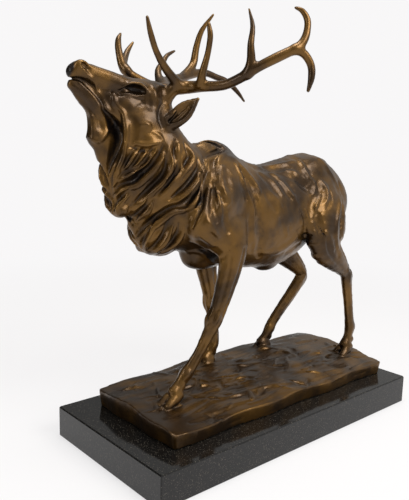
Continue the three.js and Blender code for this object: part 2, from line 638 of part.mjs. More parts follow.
// Locks of the mane, each through shares of the way down the neck and angles around it
const LOCKS = [
  { width: 5, rise: 3.6, path: [[0.02, 62], [0.1, 63], [0.2, 67], [0.29, 76], [0.37, 83], [0.43, 83]] },
  { width: 3.5, rise: 2.2, path: [[0.12, 42], [0.18, 50], [0.25, 58], [0.3, 68]] },
  { width: 4, rise: 2.8, path: [[0.13, 22], [0.2, 34], [0.27, 46], [0.31, 58], [0.34, 72]] },
  { width: 4.5, rise: 3.2, path: [[0.12, -2], [0.19, 9], [0.26, 20], [0.29, 36], [0.31, 52], [0.32, 70]] },
  {
    width: 5.5,
    rise: 4.2,
    path: [
      [0.08, -26], [0.16, -20], [0.25, -6], [0.31, 14], [0.35, 36], [0.4, 56], [0.39, 74],
      [0.43, 83],
    ],
  },
  {
    width: 5.5,
    rise: 4,
    path: [
      [0.12, -27], [0.25, -27], [0.36, -16], [0.43, 4], [0.47, 30], [0.51, 54], [0.54, 74],
    ],
  },
  { width: 4, rise: 2.4, path: [[0.02, -44], [0.12, -38], [0.24, -36]] },
  {
    width: 5,
    rise: 3.2,
    path: [
      [0.02, -58], [0.12, -55], [0.24, -54], [0.33, -46], [0.4, -34], [0.45, -22],
    ],
  },
  { width: 4.5, rise: 3, path: [[0.28, -40], [0.38, -30], [0.46, -12], [0.5, 8], [0.53, 26]] },
  {
    width: 6,
    rise: 4.2,
    path: [
      [0.3, -62], [0.45, -58], [0.54, -50], [0.6, -32], [0.61, -10], [0.62, 10],
    ],
  },
  { width: 6.5, rise: 4.4, path: [[0.55, -56], [0.66, -50], [0.72, -34], [0.73, -14], [0.7, 10]] },
  { width: 5, rise: 2.4, path: [[0.05, -84], [0.2, -80], [0.35, -74], [0.5, -69], [0.61, -62]] },
  { width: 4.5, rise: 2, path: [[0, -96], [0.12, -84], [0.3, -67], [0.42, -62]] },
  { width: 4.5, rise: 2.8, path: [[0.6, -60], [0.7, -48], [0.77, -36], [0.78, -18]] },
  { width: 4.5, rise: 2.8, path: [[0.68, -56], [0.76, -40], [0.79, -18], [0.82, 2], [0.86, 12]] },
  { width: 5, rise: 3.4, path: [[0.5, 34], [0.57, 50], [0.59, 66], [0.61, 83]] },
  { width: 6, rise: 4.2, path: [[0.72, -6], [0.67, 22], [0.68, 46], [0.68, 68], [0.72, 83]] },
  { width: 4.5, rise: 3, path: [[0.66, 52], [0.71, 68], [0.78, 83]] },
  { width: 5.5, rise: 3.8, path: [[0.74, 30], [0.8, 52], [0.83, 70], [0.84, 83]] },
  { width: 5, rise: 3.2, path: [[0.8, 16], [0.87, 34], [0.9, 54], [0.9, 78]] },
  { width: 4, rise: 3, path: [[0.42, 64], [0.47, 80], [0.5, 83]] },
];

// Each lock is a crest with a groove under it
function mane(wax) {
  const bare = new Wax(wax.low, wax.low, wax.step);
  bare.count = wax.count;
  bare.field = wax.field.slice();
  for (const s of [1, -1]) {
    for (const { path, width, rise } of LOCKS) {
      const places = path.map((place) => onNeck(bare, place, s)).filter(Boolean);
      if (places.length < 2) continue;
      const shift = -s * width * 1.1;
      lay(wax, places, { width: width * 0.75, rise: -rise, shift, blend: 1.6, peak: 0.55 });
      lay(wax, places, { width: width * 0.8, rise: rise * 0.95, blend: 1.2, ends: 0.15, peak: 0.55 });
    }
  }
}

// Ground: a slab with a swelling top and loose sides, in millimetres
const GROUND = {
  headEnd: -PLINTH_LENGTH / 2 + HEAD_END_MARGIN,
  tailEnd: PLINTH_LENGTH / 2 - TAIL_END_MARGIN,
  near: -PLINTH_WIDTH / 2 + NEAR_MARGIN,
  far: PLINTH_WIDTH / 2 - FAR_MARGIN,
};

function groundTop(x, y) {
  const { headEnd, tailEnd, near, far } = GROUND;
  const along = THREE.MathUtils.clamp((x - headEnd) / (tailEnd - headEnd), 0, 1);
  const over = THREE.MathUtils.clamp((y - near) / (far - near), 0, 1);
  const swell = GROUND_SWELL * Math.sin(Math.PI * mix(0.12, 0.78, along)) * Math.min(1, 1.5 * over);
  const lumps = Math.sin(x * 0.05 + 0.9 * Math.sin(y * 0.07)) * Math.sin(y * 0.085 + x * 0.021);
  return GROUND_EDGE + swell + 4 * Math.sin(Math.PI * over) + GROUND_LUMPS * lumps;
}

function ground(wax) {
  const { headEnd, tailEnd, near, far } = GROUND;
  const [middleX, middleY] = [(headEnd + tailEnd) / 2, (near + far) / 2];
  const low = [headEnd - SLACK, near - SLACK, -SLACK].map(toShares);
  const high = [tailEnd + SLACK, far + SLACK, GROUND_EDGE + 2 * GROUND_SWELL + SLACK].map(toShares);
  wax.each(low, high, (n, ...place) => {
    const [x, y, z] = place.map((v) => v * SHARE);
    const loose = 1.2 * Math.sin(x * 0.06) + 1.2 * Math.sin(y * 0.11 + 1);
    const flare = UNDERCUT * 0.5 * Math.max(0, 1 - z / GROUND_EDGE) + loose + 1.5 + CORNER_RADIUS;
    const outX = Math.abs(x - middleX) - (tailEnd - headEnd) / 2 + flare;
    const outY = Math.abs(y - middleY) - (far - near) / 2 + flare;
    const corner = Math.hypot(Math.max(outX, 0), Math.max(outY, 0));
    const side = corner + Math.min(Math.max(outX, outY), 0) - CORNER_RADIUS;
    wax.merge(n, toShares(Math.max(side, z - groundTop(x, y), -CUT_OFF - z)), 3, false);
  });
  // Long low strokes of the tool, spread evenly over the top
  for (let n = 0; n < STROKES; n++) {
    const [u, v, w] = [0.7549, 0.5698, 0.3247].map((k) => (0.5 + n * k) % 1);
    const reach = mix(14, 34, w);
    const x = mix(headEnd + reach, tailEnd - reach, u);
    const y = mix(near + 8, far - 8, v);
    const path = [-1, -0.3, 0.4, 1].map((k) => {
      const place = [x + k * reach, y + 5 * k * (w - 0.5) + 2 * Math.cos(3 * k + n)];
      return [...place, groundTop(...place)].map(toShares);
    });
    const rise = n % 2 ? STROKE_DEPTH : -STROKE_DEPTH;
    lay(wax, path, { width: mix(3, 6, v), rise: rise * mix(0.6, 1, u), blend: 2.5 });
  }
}

// Skin of the wax: each grid cell is split into six corner-sharing tetrahedra, which leaves it closed
const CORNER_PATHS = [[1, 2], [1, 4], [2, 1], [2, 4], [4, 1], [4, 2]];
const TETRAHEDRA = CORNER_PATHS.map(([a, b]) => [0, a, a | b, 7]);

function skin(wax) {
  const [nx, ny, nz] = wax.count;
  const clear = 0.02 * wax.step;
  const field = wax.field.map((v) => (Math.abs(v) < clear ? clear : v));
  const places = [];
  const faces = [];
  const found = new Map();
  const steps = [1, nz, ny * nz, nz + 1, ny * nz + 1, ny * nz + nz, ny * nz + nz + 1];
  const offset = (c) => wax.index(c & 1, (c >> 1) & 1, c >> 2);
  const placeOf = (n) => {
    const i = Math.floor(n / (ny * nz));
    const j = Math.floor(n / nz) % ny;
    return [i, j, n % nz].map((v, c) => wax.low[c] + wax.step * v);
  };
  // The corner where the skin passes between two grid points
  const crossing = (m, n) => {
    const [a, b] = m < n ? [m, n] : [n, m];
    const key = a * 8 + steps.indexOf(b - a);
    if (!found.has(key)) {
      const k = field[a] / (field[a] - field[b]);
      const [p, q] = [placeOf(a), placeOf(b)];
      found.set(key, places.push(p.map((v, c) => mix(v, q[c], k))) - 1);
    }
    return found.get(key);
  };
  const facing = (face, outward) => {
    const [a, b, c] = face.map((v) => places[v]);
    const turned = dot(cross(plus(b, a, -1), plus(c, a, -1)), outward) < 0;
    faces.push(turned ? [face[0], face[2], face[1]] : face);
  };
  for (let i = 0; i < nx - 1; i++) {
    for (let j = 0; j < ny - 1; j++) {
      for (let k = 0; k < nz - 1; k++) {
        const start = wax.index(i, j, k);
        const cell = [0, 1, 2, 3, 4, 5, 6, 7].map((c) => start + offset(c));
        const full = cell.filter((n) => field[n] < 0).length;
        if (full === 0 || full === 8) continue;
        for (const corners of TETRAHEDRA) {
          const ends = corners.map((c) => cell[c]);
          const inside = ends.filter((n) => field[n] < 0);
          const outside = ends.filter((n) => field[n] >= 0);
          if (!inside.length || !outside.length) continue;
          const outward = plus(placeOf(outside[0]), placeOf(inside[0]), -1);
          if (inside.length === 1) facing(outside.map((n) => crossing(inside[0], n)), outward);
          else if (outside.length === 1) facing(inside.map((n) => crossing(n, outside[0])), outward);
          else {
            const [a, b] = [crossing(inside[0], outside[0]), crossing(inside[0], outside[1])];
            const [c, d] = [crossing(inside[1], outside[1]), crossing(inside[1], outside[0])];
            facing([a, b, c], outward);
            facing([a, c, d], outward);
          }
        }
      }
    }
  }
  return { places, faces };
}

// Thins a skin by closing its cheapest edges first, weighed by how far each new corner leaves the old planes
function thin({ places, faces }, target) {
  const planes = places.map(() => new Float64Array(10));
  const around = places.map(() => new Set());
  const stamp = new Int32Array(places.length);
  const normal = (a, b, c) => cross(plus(b, a, -1), plus(c, a, -1));
  faces.forEach((face, n) => {
    const [a, b, c] = face.map((v) => places[v]);
    const weighted = normal(a, b, c);
    const area = length(weighted) / 2;
    const [x, y, z] = unit(weighted);
    const w = -dot([x, y, z], a);
    const terms = [x * x, x * y, x * z, x * w, y * y, y * z, y * w, z * z, z * w, w * w];
    for (const v of face) {
      around[v].add(n);
      terms.forEach((term, i) => (planes[v][i] += term * area));
    }
  });
  const cost = (q, [x, y, z]) =>
    q[0] * x * x + q[4] * y * y + q[7] * z * z + q[9] +
    2 * (q[1] * x * y + q[2] * x * z + q[3] * x + q[5] * y * z + q[6] * y + q[8] * z);
  const heap = [];
  const push = (item) => {
    let i = heap.push(item) - 1;
    while (i > 0) {
      const up = (i - 1) >> 1;
      if (heap[up].cost <= heap[i].cost) break;
      [heap[up], heap[i]] = [heap[i], heap[up]];
      i = up;
    }
  };
  const pop = () => {
    const top = heap[0];
    const end = heap.pop();
    if (heap.length) {
      heap[0] = end;
      let i = 0;
      for (;;) {
        let least = i;
        for (const child of [2 * i + 1, 2 * i + 2]) {
          if (child < heap.length && heap[child].cost < heap[least].cost) least = child;
        }
        if (least === i) break;
        [heap[least], heap[i]] = [heap[i], heap[least]];
        i = least;
      }
    }
    return top;
  };
  const best = (u, v) => {
    const q = planes[u].map((term, i) => term + planes[v][i]);
    const [a, b] = [places[u], places[v]];
    const middle = a.map((value, i) => (value + b[i]) / 2);
    const tries = [a, b, middle];
    const rows = new THREE.Matrix3().set(q[0], q[1], q[2], q[1], q[4], q[5], q[2], q[5], q[7]);
    const size = q[0] + q[4] + q[7];
    if (Math.abs(rows.determinant()) > 1e-4 * size ** 3) {
      const p = new THREE.Vector3(-q[3], -q[6], -q[8]).applyMatrix3(rows.invert()).toArray();
      if (length(plus(p, middle, -1)) < 2 * length(plus(a, b, -1))) tries.push(p);
    }
    const costs = tries.map((p) => cost(q, p));
    const least = costs.indexOf(Math.min(...costs));
    const long = length(plus(a, b, -1));
    const stamps = [stamp[u], stamp[v]];
    push({ cost: costs[least] + 1e-4 * long * long, place: tries[least], u, v, stamps });
  };
  const neighbours = (u) => {
    const found = new Set();
    for (const n of around[u]) for (const v of faces[n]) if (v !== u) found.add(v);
    return found;
  };
  const flips = (u, other, place) => {
    for (const n of around[u]) {
      if (faces[n].includes(other)) continue;
      const before = normal(...faces[n].map((v) => places[v]));
      const after = normal(...faces[n].map((v) => (v === u ? place : places[v])));
      if (dot(unit(before), unit(after)) < 0.3) return true;
    }
    return false;
  };
  faces.forEach((face) => {
    face.forEach((u, i) => {
      const v = face[(i + 1) % 3];
      if (u < v) best(u, v);
    });
  });
  let left = faces.length;
  while (left > target && heap.length) {
    const { place, u, v, stamps } = pop();
    if (stamps[0] !== stamp[u] || stamps[1] !== stamp[v]) continue;
    const shared = neighbours(u).intersection(neighbours(v));
    if (shared.size !== 2 || flips(u, v, place) || flips(v, u, place)) continue;
    for (const n of around[v]) {
      if (faces[n].includes(u)) {
        for (const w of faces[n]) if (w !== v) around[w].delete(n);
        faces[n] = null;
        left--;
      } else {
        faces[n] = faces[n].map((w) => (w === v ? u : w));
        around[u].add(n);
      }
    }
    around[v].clear();
    places[u] = place;
    planes[v].forEach((term, i) => (planes[u][i] += term));
    stamp[u]++;
    stamp[v] = -1;
    for (const w of neighbours(u)) best(u, w);
  }
  return { places, faces: faces.filter(Boolean) };
}

// Antlers: rows forward of, left of and above the poll, and the half thickness
const NEAR_ANTLER = [
  [
    [6, 8, -14, 7], [0, 12, -3.5, 7], [-12.5, 18, 0, 6.6], [-22.5, 31, 2, 5.6], [-37, 47.5, 5, 5],
    [-46.5, 63, 13, 5], [-57, 75.5, 24.5, 4.8], [-72.5, 85.5, 37, 5], [-88, 91.5, 48.5, 4.6],
    [-93.5, 92.5, 57.5, 4.1], [-95.5, 91.5, 67.5, 3.5], [-95, 89.5, 77, 3.3], [-89.5, 87, 84, 2.7],
    [-84, 82.5, 86.5, 1.6],
  ],
  [
    [-85.5, 91.5, 46, 4.4], [-96.5, 92.5, 43.5, 4.1], [-105, 94, 34.5, 3.8], [-107, 95, 23, 3.5],
    [-106, 94.5, 10.5, 1.8],
  ],
  [
    [-50, 69, 17, 5], [-50, 72, 29, 4.5], [-46, 73.5, 44, 3.4], [-46, 72, 61, 2.5],
    [-41, 68.5, 76.5, 1.2],
  ],
  [
    [-19, 32, 3, 5], [-17.5, 36.5, 15, 4], [-18, 40.5, 32, 3.1], [-16, 45, 47.5, 3],
    [-13.5, 45, 56, 2.5], [-13, 43.5, 61, 1.3],
  ],
  [
    [-5.5, 15.5, -1, 6], [5, 18, 5, 4.8], [17, 21.5, 13, 4.1], [30, 26.5, 24.5, 3.2],
    [40, 31, 38.5, 3], [47, 33.5, 52.5, 1.8],
  ],
];
const FAR_ANTLER = [
  [
    [6, -8, -14, 7], [0, -13, -4, 7], [-5, -26, 2.5, 6.6], [-12, -46, 10, 5.8], [-42, -74, 23, 5.2],
    [-70, -89.5, 36, 5], [-84.5, -92.5, 39.5, 4.2], [-99.5, -94, 38, 3.9], [-116, -95, 36, 3.6],
    [-133, -95, 26.5, 2.8], [-144, -94, 17, 1.4],
  ],
  [
    [-49, -80, 27, 5], [-63, -88, 45, 4.7], [-64.5, -89, 64.5, 4], [-67.5, -87, 85.5, 3.2],
    [-77.5, -82.5, 106, 1.6],
  ],
  [
    [-4, -38, 6, 5], [-4.5, -50, 21, 3.7], [-11.5, -57.5, 32, 3.3], [-18, -63, 42.5, 2.6],
    [-27.5, -66, 50, 1.5],
  ],
  [
    [41.5, -20, 9, 4.5], [42.5, -30, 15, 4.2], [39, -39, 24, 3.6], [35, -45, 33.5, 3],
    [29, -49, 44, 1.5],
  ],
  [
    [0, -13, -3, 6], [14, -15, -2, 5.4], [28, -18, 2, 5], [43, -23, 9.5, 4.8], [50, -28, 27, 3.8],
    [51, -32, 39, 3.2], [48.5, -35, 46.5, 1.5],
  ],
];

// One antler branch: rings along a smooth curve, closed at the root and the tip
function branch(rows) {
  const path = smooth(rows.map(onHead), 2);
  const count = path.length;
  const places = [];
  const faces = [];
  let ring = null;
  path.forEach(([x, y, z, radius], i) => {
    const before = path[Math.max(i - 1, 0)].slice(0, 3);
    const way = unit(plus(path[Math.min(i + 1, count - 1)].slice(0, 3), before, -1));
    const start = ring ?? [0.3, 1, 0.2];
    ring = unit(plus(start, way, -dot(start, way)));
    const other = cross(way, ring);
    for (let n = 0; n < ANTLER_SIDES; n++) {
      const angle = (2 * Math.PI * n) / ANTLER_SIDES;
      const out = plus(ring.map((v) => v * Math.cos(angle)), other, Math.sin(angle));
      places.push(plus([x, y, z], out, radius));
    }
  });
  const [root, tip] = [path[0].slice(0, 3), path.at(-1).slice(0, 3)];
  const end = unit(plus(tip, path.at(-2).slice(0, 3), -1));
  places.push(root, plus(tip, end, path.at(-1)[3] * 1.2));
  for (let n = 0; n < ANTLER_SIDES; n++) {
    const next = (n + 1) % ANTLER_SIDES;
    const top = (count - 1) * ANTLER_SIDES;
    faces.push([places.length - 2, next, n], [places.length - 1, top + n, top + next]);
    for (let i = 0; i < count - 1; i++) {
      const [a, b] = [i * ANTLER_SIDES, (i + 1) * ANTLER_SIDES];
      faces.push([a + n, a + next, b + next], [a + n, b + next, b + n]);
    }
  }
  return { places, faces };
}

// A mesh in shares of the figure's height, at its real size
function cast({ places, faces }) {
  return { places: places.map((p) => p.map((v) => v * SHARE)), faces };
}

// Solids for joining and cutting
const wasm = await Module();
wasm.setup();

function solid({ places, faces }) {
  const triVerts = new Uint32Array(faces.flat());
  const vertProperties = new Float32Array(places.flat());
  return new wasm.Manifold(new wasm.Mesh({ numProp: 3, vertProperties, triVerts }));
}

function fromGeometry(geometry) {
  geometry.deleteAttribute("normal");
  geometry.deleteAttribute("uv");
  const merged = mergeVertices(geometry, 1e-4);
  const vertProperties = merged.attributes.position.array;
  const triVerts = new Uint32Array(merged.index.array);
  return new wasm.Manifold(new wasm.Mesh({ numProp: 3, vertProperties, triVerts }));
}

function toGeometry(made) {
  const { numProp, vertProperties, triVerts } = made.getMesh();
  const places = new Float32Array((vertProperties.length / numProp) * 3);
  for (let i = 0; i < places.length / 3; i++) {
    for (let j = 0; j < 3; j++) places[3 * i + j] = vertProperties[i * numProp + j];
  }
  const geometry = new THREE.BufferGeometry();
  geometry.setAttribute("position", new THREE.BufferAttribute(places, 3));
  geometry.setIndex(new THREE.BufferAttribute(triVerts, 1));
  geometry.computeVertexNormals();
  return geometry;
}

// The stag and its ground as one casting, with the ground's underside cut flat
function casting() {
  const reach = [PLINTH_LENGTH / 2, PLINTH_WIDTH / 2].map(toShares);
  const low = [Math.min(FIGURE_LOW[0], -reach[0]), Math.min(FIGURE_LOW[1], -reach[1]), toShares(-SLACK)];
  const high = [Math.max(FIGURE_HIGH[0], reach[0]), Math.max(FIGURE_HIGH[1], reach[1]), FIGURE_HIGH[2]];
  const wax = new Wax(low, high, toShares(WAX_STEP));
  torso(wax);
  neck(wax);
  for (const one of Object.values(LEGS)) leg(wax, one);
  head(wax);
  flanks(wax);
  for (const [name, one] of Object.entries(LEGS)) {
    sinews(wax, one, name.endsWith("Hind") ? HIND_STROKES : FORE_STROKES);
  }
  face(wax);
  mane(wax);
  ground(wax);
  const figure = solid(cast(thin(skin(wax), WAX_FACES)));
  const depth = 40;
  const below = new THREE.BoxGeometry(2 * PLINTH_LENGTH, 2 * PLINTH_WIDTH, depth);
  below.translate(0, 0, SEAT_GAP - depth / 2);
  const branches = [...NEAR_ANTLER, ...FAR_ANTLER].map((rows) => solid(cast(branch(rows))));
  return branches.reduce((all, one) => all.add(one), figure).subtract(fromGeometry(below));
}

// A box with a small chamfer on every edge above the underside
function plinth() {
  const [x, y, c] = [PLINTH_LENGTH / 2, PLINTH_WIDTH / 2, PLINTH_CHAMFER];
  const outline = new THREE.Shape();
  outline.moveTo(-x + c, -y);
  outline.lineTo(x - c, -y);
  outline.lineTo(x, -y + c);
  outline.lineTo(x, y - c);
  outline.lineTo(x - c, y);
  outline.lineTo(-x + c, y);
  outline.lineTo(-x, y - c);
  outline.lineTo(-x, -y + c);
  outline.closePath();
  const geometry = new THREE.ExtrudeGeometry(outline, {
    depth: PLINTH_HEIGHT - 2 * c,
    bevelEnabled: true,
    bevelSegments: 1,
    bevelThickness: c,
    bevelSize: c,
    bevelOffset: -c,
  });
  return geometry.translate(0, 0, c);
}

const bronze = new THREE.MeshStandardMaterial({ color: 0x6e4a22, roughness: 0.38, metalness: 0.9 });
const granite = new THREE.MeshStandardMaterial({ color: 0x151515, roughness: 0.15, metalness: 0 });

const stag = new THREE.Mesh(toGeometry(casting()), bronze);
stag.name = "bronze_stag";
stag.position.z = PLINTH_HEIGHT;

const base = new THREE.Mesh(plinth(), granite);
base.name = "granite_plinth";

const sculpture = new THREE.Group();
sculpture.add(base, stag);

export default sculpture;
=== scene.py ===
# A bugling stag in bronze on its rough ground, over a polished black granite plinth.
# The frame gives the plinth's place; the stag and its ground are modelled here as one skin of wax.
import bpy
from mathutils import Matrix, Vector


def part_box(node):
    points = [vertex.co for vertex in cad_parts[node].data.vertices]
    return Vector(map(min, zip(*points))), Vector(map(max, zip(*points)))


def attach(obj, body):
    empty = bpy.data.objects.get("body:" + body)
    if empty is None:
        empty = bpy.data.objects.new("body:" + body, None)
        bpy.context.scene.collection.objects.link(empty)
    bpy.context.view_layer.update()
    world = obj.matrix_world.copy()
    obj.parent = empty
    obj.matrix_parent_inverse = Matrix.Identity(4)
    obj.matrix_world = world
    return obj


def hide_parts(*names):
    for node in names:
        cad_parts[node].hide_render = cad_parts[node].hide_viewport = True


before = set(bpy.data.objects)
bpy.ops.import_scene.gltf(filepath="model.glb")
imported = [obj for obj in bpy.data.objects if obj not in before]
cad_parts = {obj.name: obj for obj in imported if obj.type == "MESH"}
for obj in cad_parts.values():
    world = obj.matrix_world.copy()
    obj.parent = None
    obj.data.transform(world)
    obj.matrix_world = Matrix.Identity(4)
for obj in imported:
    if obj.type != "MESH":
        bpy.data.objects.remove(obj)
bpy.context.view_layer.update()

from copy import deepcopy

import bpy
import numpy as np
from mathutils import Matrix, Vector

MM = 0.001
WAX_STEP, QUICK_STEP = 1.05, 2.0
WAX_LOW, WAX_HIGH = (-225, -106, -8), (200, 98, 452)
MOST_FACES = 190000

# Distances for open space and beyond a limb's reach, and the room kept round a limb
OPEN_SPACE, OUT_OF_REACH = 60.0, 50.0
MARGIN = 2

# Values kept on the mesh for the patina and for its painted shade and painted highlight, and how far round
# each place they look
CREST, BROAD, SHELTER = "crest", "broad form", "shelter"
CREST_REACH, BROAD_REACH = 2.2, 7.0
SHELTER_REACHES = (5.0, 9.0, 15.0, 24.0)
# The end of the muzzle: its place, and the reach and strength of its painted shade and painted dark
# reflection
NOSE_PAD, NOSE_REACH, NOSE_PAINTED_SHADE = (107, 0, -5), 11.0, 0.75

# From none to all: the worn gold with its painted highlight, the painted shade and darker patina of a hollow
# and of a shelter, and the paler patches
WORN_AND_HIGHLIT = (0.41, 1.05)
HOLLOW_SHADE_AND_PATINA = (-0.08, -0.6)
SHELTER_SHADE_AND_PATINA = (0.17, 0.55)
PATCHES = (0.36, 0.64)

# Scales of the patches and the grain, and what each adds to the roughness
BRONZE_MARKS, GRANITE_MARKS = (26.0, 700.0), (14.0, 1500.0)
WAXED, WAXED_GRAIN, DULL = 0.31, 0.14, 0.2
POLISHED, POLISHED_PATCHES = 0.05, 0.10
CRYSTALS = 1500.0

# Colours of the patina with its painted shade and painted highlight, of the granite and of the white room
UMBER_PATINA_AND_SHADE = (0.010, 0.005, 0.0025, 1.0)
BROWN = (0.040, 0.019, 0.004, 1.0)
AMBER = (0.138, 0.066, 0.009, 1.0)
GOLD_WEAR_AND_HIGHLIGHT = (0.440, 0.260, 0.075, 1.0)
GRANITE_DARK, GRANITE_PALE = (0.004, 0.004, 0.004, 1.0), (0.011, 0.010, 0.009, 1.0)
FLECK = (0.16, 0.14, 0.11, 1.0)
FLOOR_WHITE = (0.9, 0.89, 0.89, 1.0)
ROOM_WHITE = (0.94, 0.93, 0.935, 1.0)
ROOM_LIGHT = (1.0, 0.99, 0.97, 1.0)

# The way to the room's bright side, where it turns from dim to bright, both strengths, and the floor
BRIGHT_SIDE = (0.42, -0.40, 0.81)
ROOM_TURN = (-0.35, 0.95)
ROOM_GLOW = (0.03, 0.72)
FLOOR_GLOW = 0.72
FLOOR_FADE = (0.3, 1.2)
FLOOR_REACH = 4

# Lamps: name, place, what it shines at, size, power and colour
LAMPS = (
    ("key", (0.25, -1.2, 1.2), (-0.03, 0, 0.27), (0.8, 0.8), 16, (1.0, 0.97, 0.93)),
    ("side", (-1.3, 0.1, 0.8), (0, 0, 0.3), (0.3, 0.6), 3.5, (1.0, 1.0, 1.0)),
    ("overhead", (-0.1, -0.1, 1.5), (0, 0, 0.2), (0.5, 0.5), 8, (1.0, 1.0, 1.0)),
)

# Camera, in metres and radians, with the focal length counted in the frame's pixels
FRAME_HEIGHT = 500
FOCAL_PIXELS = 617.8
SENSOR = 36.0
CAMERA_PLACE = (-0.51201, -0.50235, 0.32870)
CAMERA_YAW = np.radians(48.7481)
CAMERA_PITCH = np.radians(-9.6526)
CAMERA_ROLL = np.radians(1.38828)

# Sizes in millimetres, heights from the plinth's top, the head towards -X
MIDDLE = 12.0
ACROSS = (0.0, 1.0, 0.0)
HEAD_TURN = np.radians(14)
HEAD_LIFT = np.radians(8)
POLL = np.array([-107.0, 20.0, 353.0])
FORWARD = np.array([
    -np.cos(HEAD_TURN) * np.cos(HEAD_LIFT),
    np.sin(HEAD_TURN) * np.cos(HEAD_LIFT),
    np.sin(HEAD_LIFT),
])
LEFT = np.array([-np.sin(HEAD_TURN), -np.cos(HEAD_TURN), 0.0])
UPWARD = np.cross(FORWARD, LEFT)
HEAD_AXES = (FORWARD, LEFT, UPWARD)


def unit(v):
    v = np.asarray(v, float)
    return v / np.linalg.norm(v)


def units(rows):
    return rows / (np.linalg.norm(rows, axis=1)[:, None] + 1e-9)


def smooth(rows, per_span=3):
    """A smooth curve through each row, with the sizes that go with it."""
    rows = np.asarray(rows, float)
    if len(rows) < 3 or per_span < 2:
        return rows
    all_rows = np.vstack([2 * rows[0] - rows[1], rows, 2 * rows[-1] - rows[-2]])
    out = []
    for before, a, b, after in zip(all_rows, all_rows[1:], all_rows[2:], all_rows[3:]):
        for t in np.arange(per_span) / per_span:
            bend = (2 * before - 5 * a + 4 * b - after) * t * t + (3 * a - before - 3 * b + after) * t ** 3
            out.append(0.5 * (2 * a + (b - before) * t + bend))
    out.append(rows[-1])
    return np.array(out)


class Wax:
    """Modelling wax: a distance on a grid, below zero inside, worked by joining and cutting."""

    def __init__(self, low, high, step):
        self.low = np.asarray(low, float)
        self.step = float(step)
        self.count = np.ceil((np.asarray(high, float) - self.low) / step).astype(int) + 1
        self.field = np.full(self.count, OPEN_SPACE, np.float32)

    def window(self, low, high):
        first = np.clip(np.floor((np.asarray(low) - self.low) / self.step).astype(int), 0, self.count)
        last = np.clip(np.ceil((np.asarray(high) - self.low) / self.step).astype(int) + 1, 0, self.count)
        return tuple(slice(i, max(i, j)) for i, j in zip(first, last))

    def axes(self, win):
        lines = [self.low[i] + self.step * np.arange(win[i].start, win[i].stop) for i in range(3)]
        return np.ix_(*[line.astype(np.float32) for line in lines])

    def merge(self, win, distance, blend, cut=False):
        """Joins a shape on, or cuts it away, with a fillet about as wide as the blend."""
        held = self.field[win]
        shape = -distance if cut else distance
        fillet = np.maximum(blend - np.abs(held - shape), 0) ** 2 * (0.25 / blend)
        self.field[win] = np.maximum(held, shape) + fillet if cut else np.minimum(held, shape) - fillet

    def values(self, points):
        """The field between grid points, at many places at once."""
        at = np.clip((np.asarray(points) - self.low) / self.step, 0, self.count - 1.001)
        i = at.astype(int)
        f = (at - i).T
        total = 0.0
        for corner in np.ndindex(2, 2, 2):
            weight = np.prod([f[n] if corner[n] else 1 - f[n] for n in range(3)], axis=0)
            total = total + weight * self.field[i[:, 0] + corner[0], i[:, 1] + corner[1], i[:, 2] + corner[2]]
        return total

    def outward(self, points, reach=1.5):
        """The way out of the wax at many places."""
        ways = [self.values(points + reach * way) - self.values(points - reach * way) for way in np.eye(3)]
        return units(np.stack(ways, 1))

    def settle(self, points, turns=5):
        """Moves places that are near the skin onto it."""
        points = np.asarray(points, float)
        for _ in range(turns):
            points = points - np.clip(self.values(points), -6, 6)[:, None] * self.outward(points)
        return points

    def meet(self, start, way, reach=120.0, stride=0.5):
        """Where a ray from inside leaves the wax, or a ray from outside meets it."""
        path = np.asarray(start, float) + np.arange(0, reach, stride)[:, None] * np.asarray(way, float)
        inside = self.values(path) < 0
        turned = np.nonzero(inside != inside[0])[0]
        return path[turned[0]] if len(turned) else None


def limb(wax, rows, side=ACROSS, blend=8.0, cut=False, per_span=3):
    """A limb through rows of x, y, z, half width along its side direction and half depth."""
    rows = np.array([list(row) + [row[3]] if len(row) == 4 else list(row) for row in rows], float)
    sides = np.broadcast_to(np.asarray(side, float), (len(rows), 3))
    path = smooth(np.hstack([rows, sides]), per_span)
    path[:, 3:5] = np.maximum(path[:, 3:5], 0.3)
    margin = blend + MARGIN
    widest = path[:, 3:5].max(1)[:, None] + margin
    win = wax.window((path[:, :3] - widest).min(0), (path[:, :3] + widest).max(0))
    shape = np.full([s.stop - s.start for s in win], OUT_OF_REACH, np.float32)
    for a, b in zip(path, path[1:]):
        span = np.linalg.norm(b[:3] - a[:3])
        if span < 1e-6:
            continue
        t = (b[:3] - a[:3]) / span
        s = unit(a[5:8] + b[5:8])
        s = unit(s - (s @ t) * t)
        u = np.cross(t, s)
        reach = max(a[3:5].max(), b[3:5].max()) + margin
        near = wax.window(np.minimum(a[:3], b[:3]) - reach, np.maximum(a[:3], b[:3]) + reach)
        near = tuple(slice(max(p.start, w.start), min(p.stop, w.stop)) for p, w in zip(near, win))
        if any(p.stop <= p.start for p in near):
            continue
        x, y, z = [line - a[i] for i, line in enumerate(wax.axes(near))]
        down = x * t[0] + y * t[1] + z * t[2]
        k = np.clip(down / span, 0, 1)
        width, depth = a[3] + (b[3] - a[3]) * k, a[4] + (b[4] - a[4]) * k
        least = np.minimum(width, depth)
        vs, vu, vt = x * s[0] + y * s[1] + z * s[2], x * u[0] + y * u[1] + z * u[2], down - k * span
        q = np.sqrt((vs / width) ** 2 + (vu / depth) ** 2 + (vt / least) ** 2) + 1e-6
        away = np.sqrt(vs * vs + vu * vu + vt * vt)
        distance = np.where(q < 1, (q - 1) * least, away * (1 - 1 / q))
        part = tuple(slice(p.start - w.start, p.stop - w.start) for p, w in zip(near, win))
        shape[part] = np.minimum(shape[part], distance)
    wax.merge(win, shape, blend, cut)


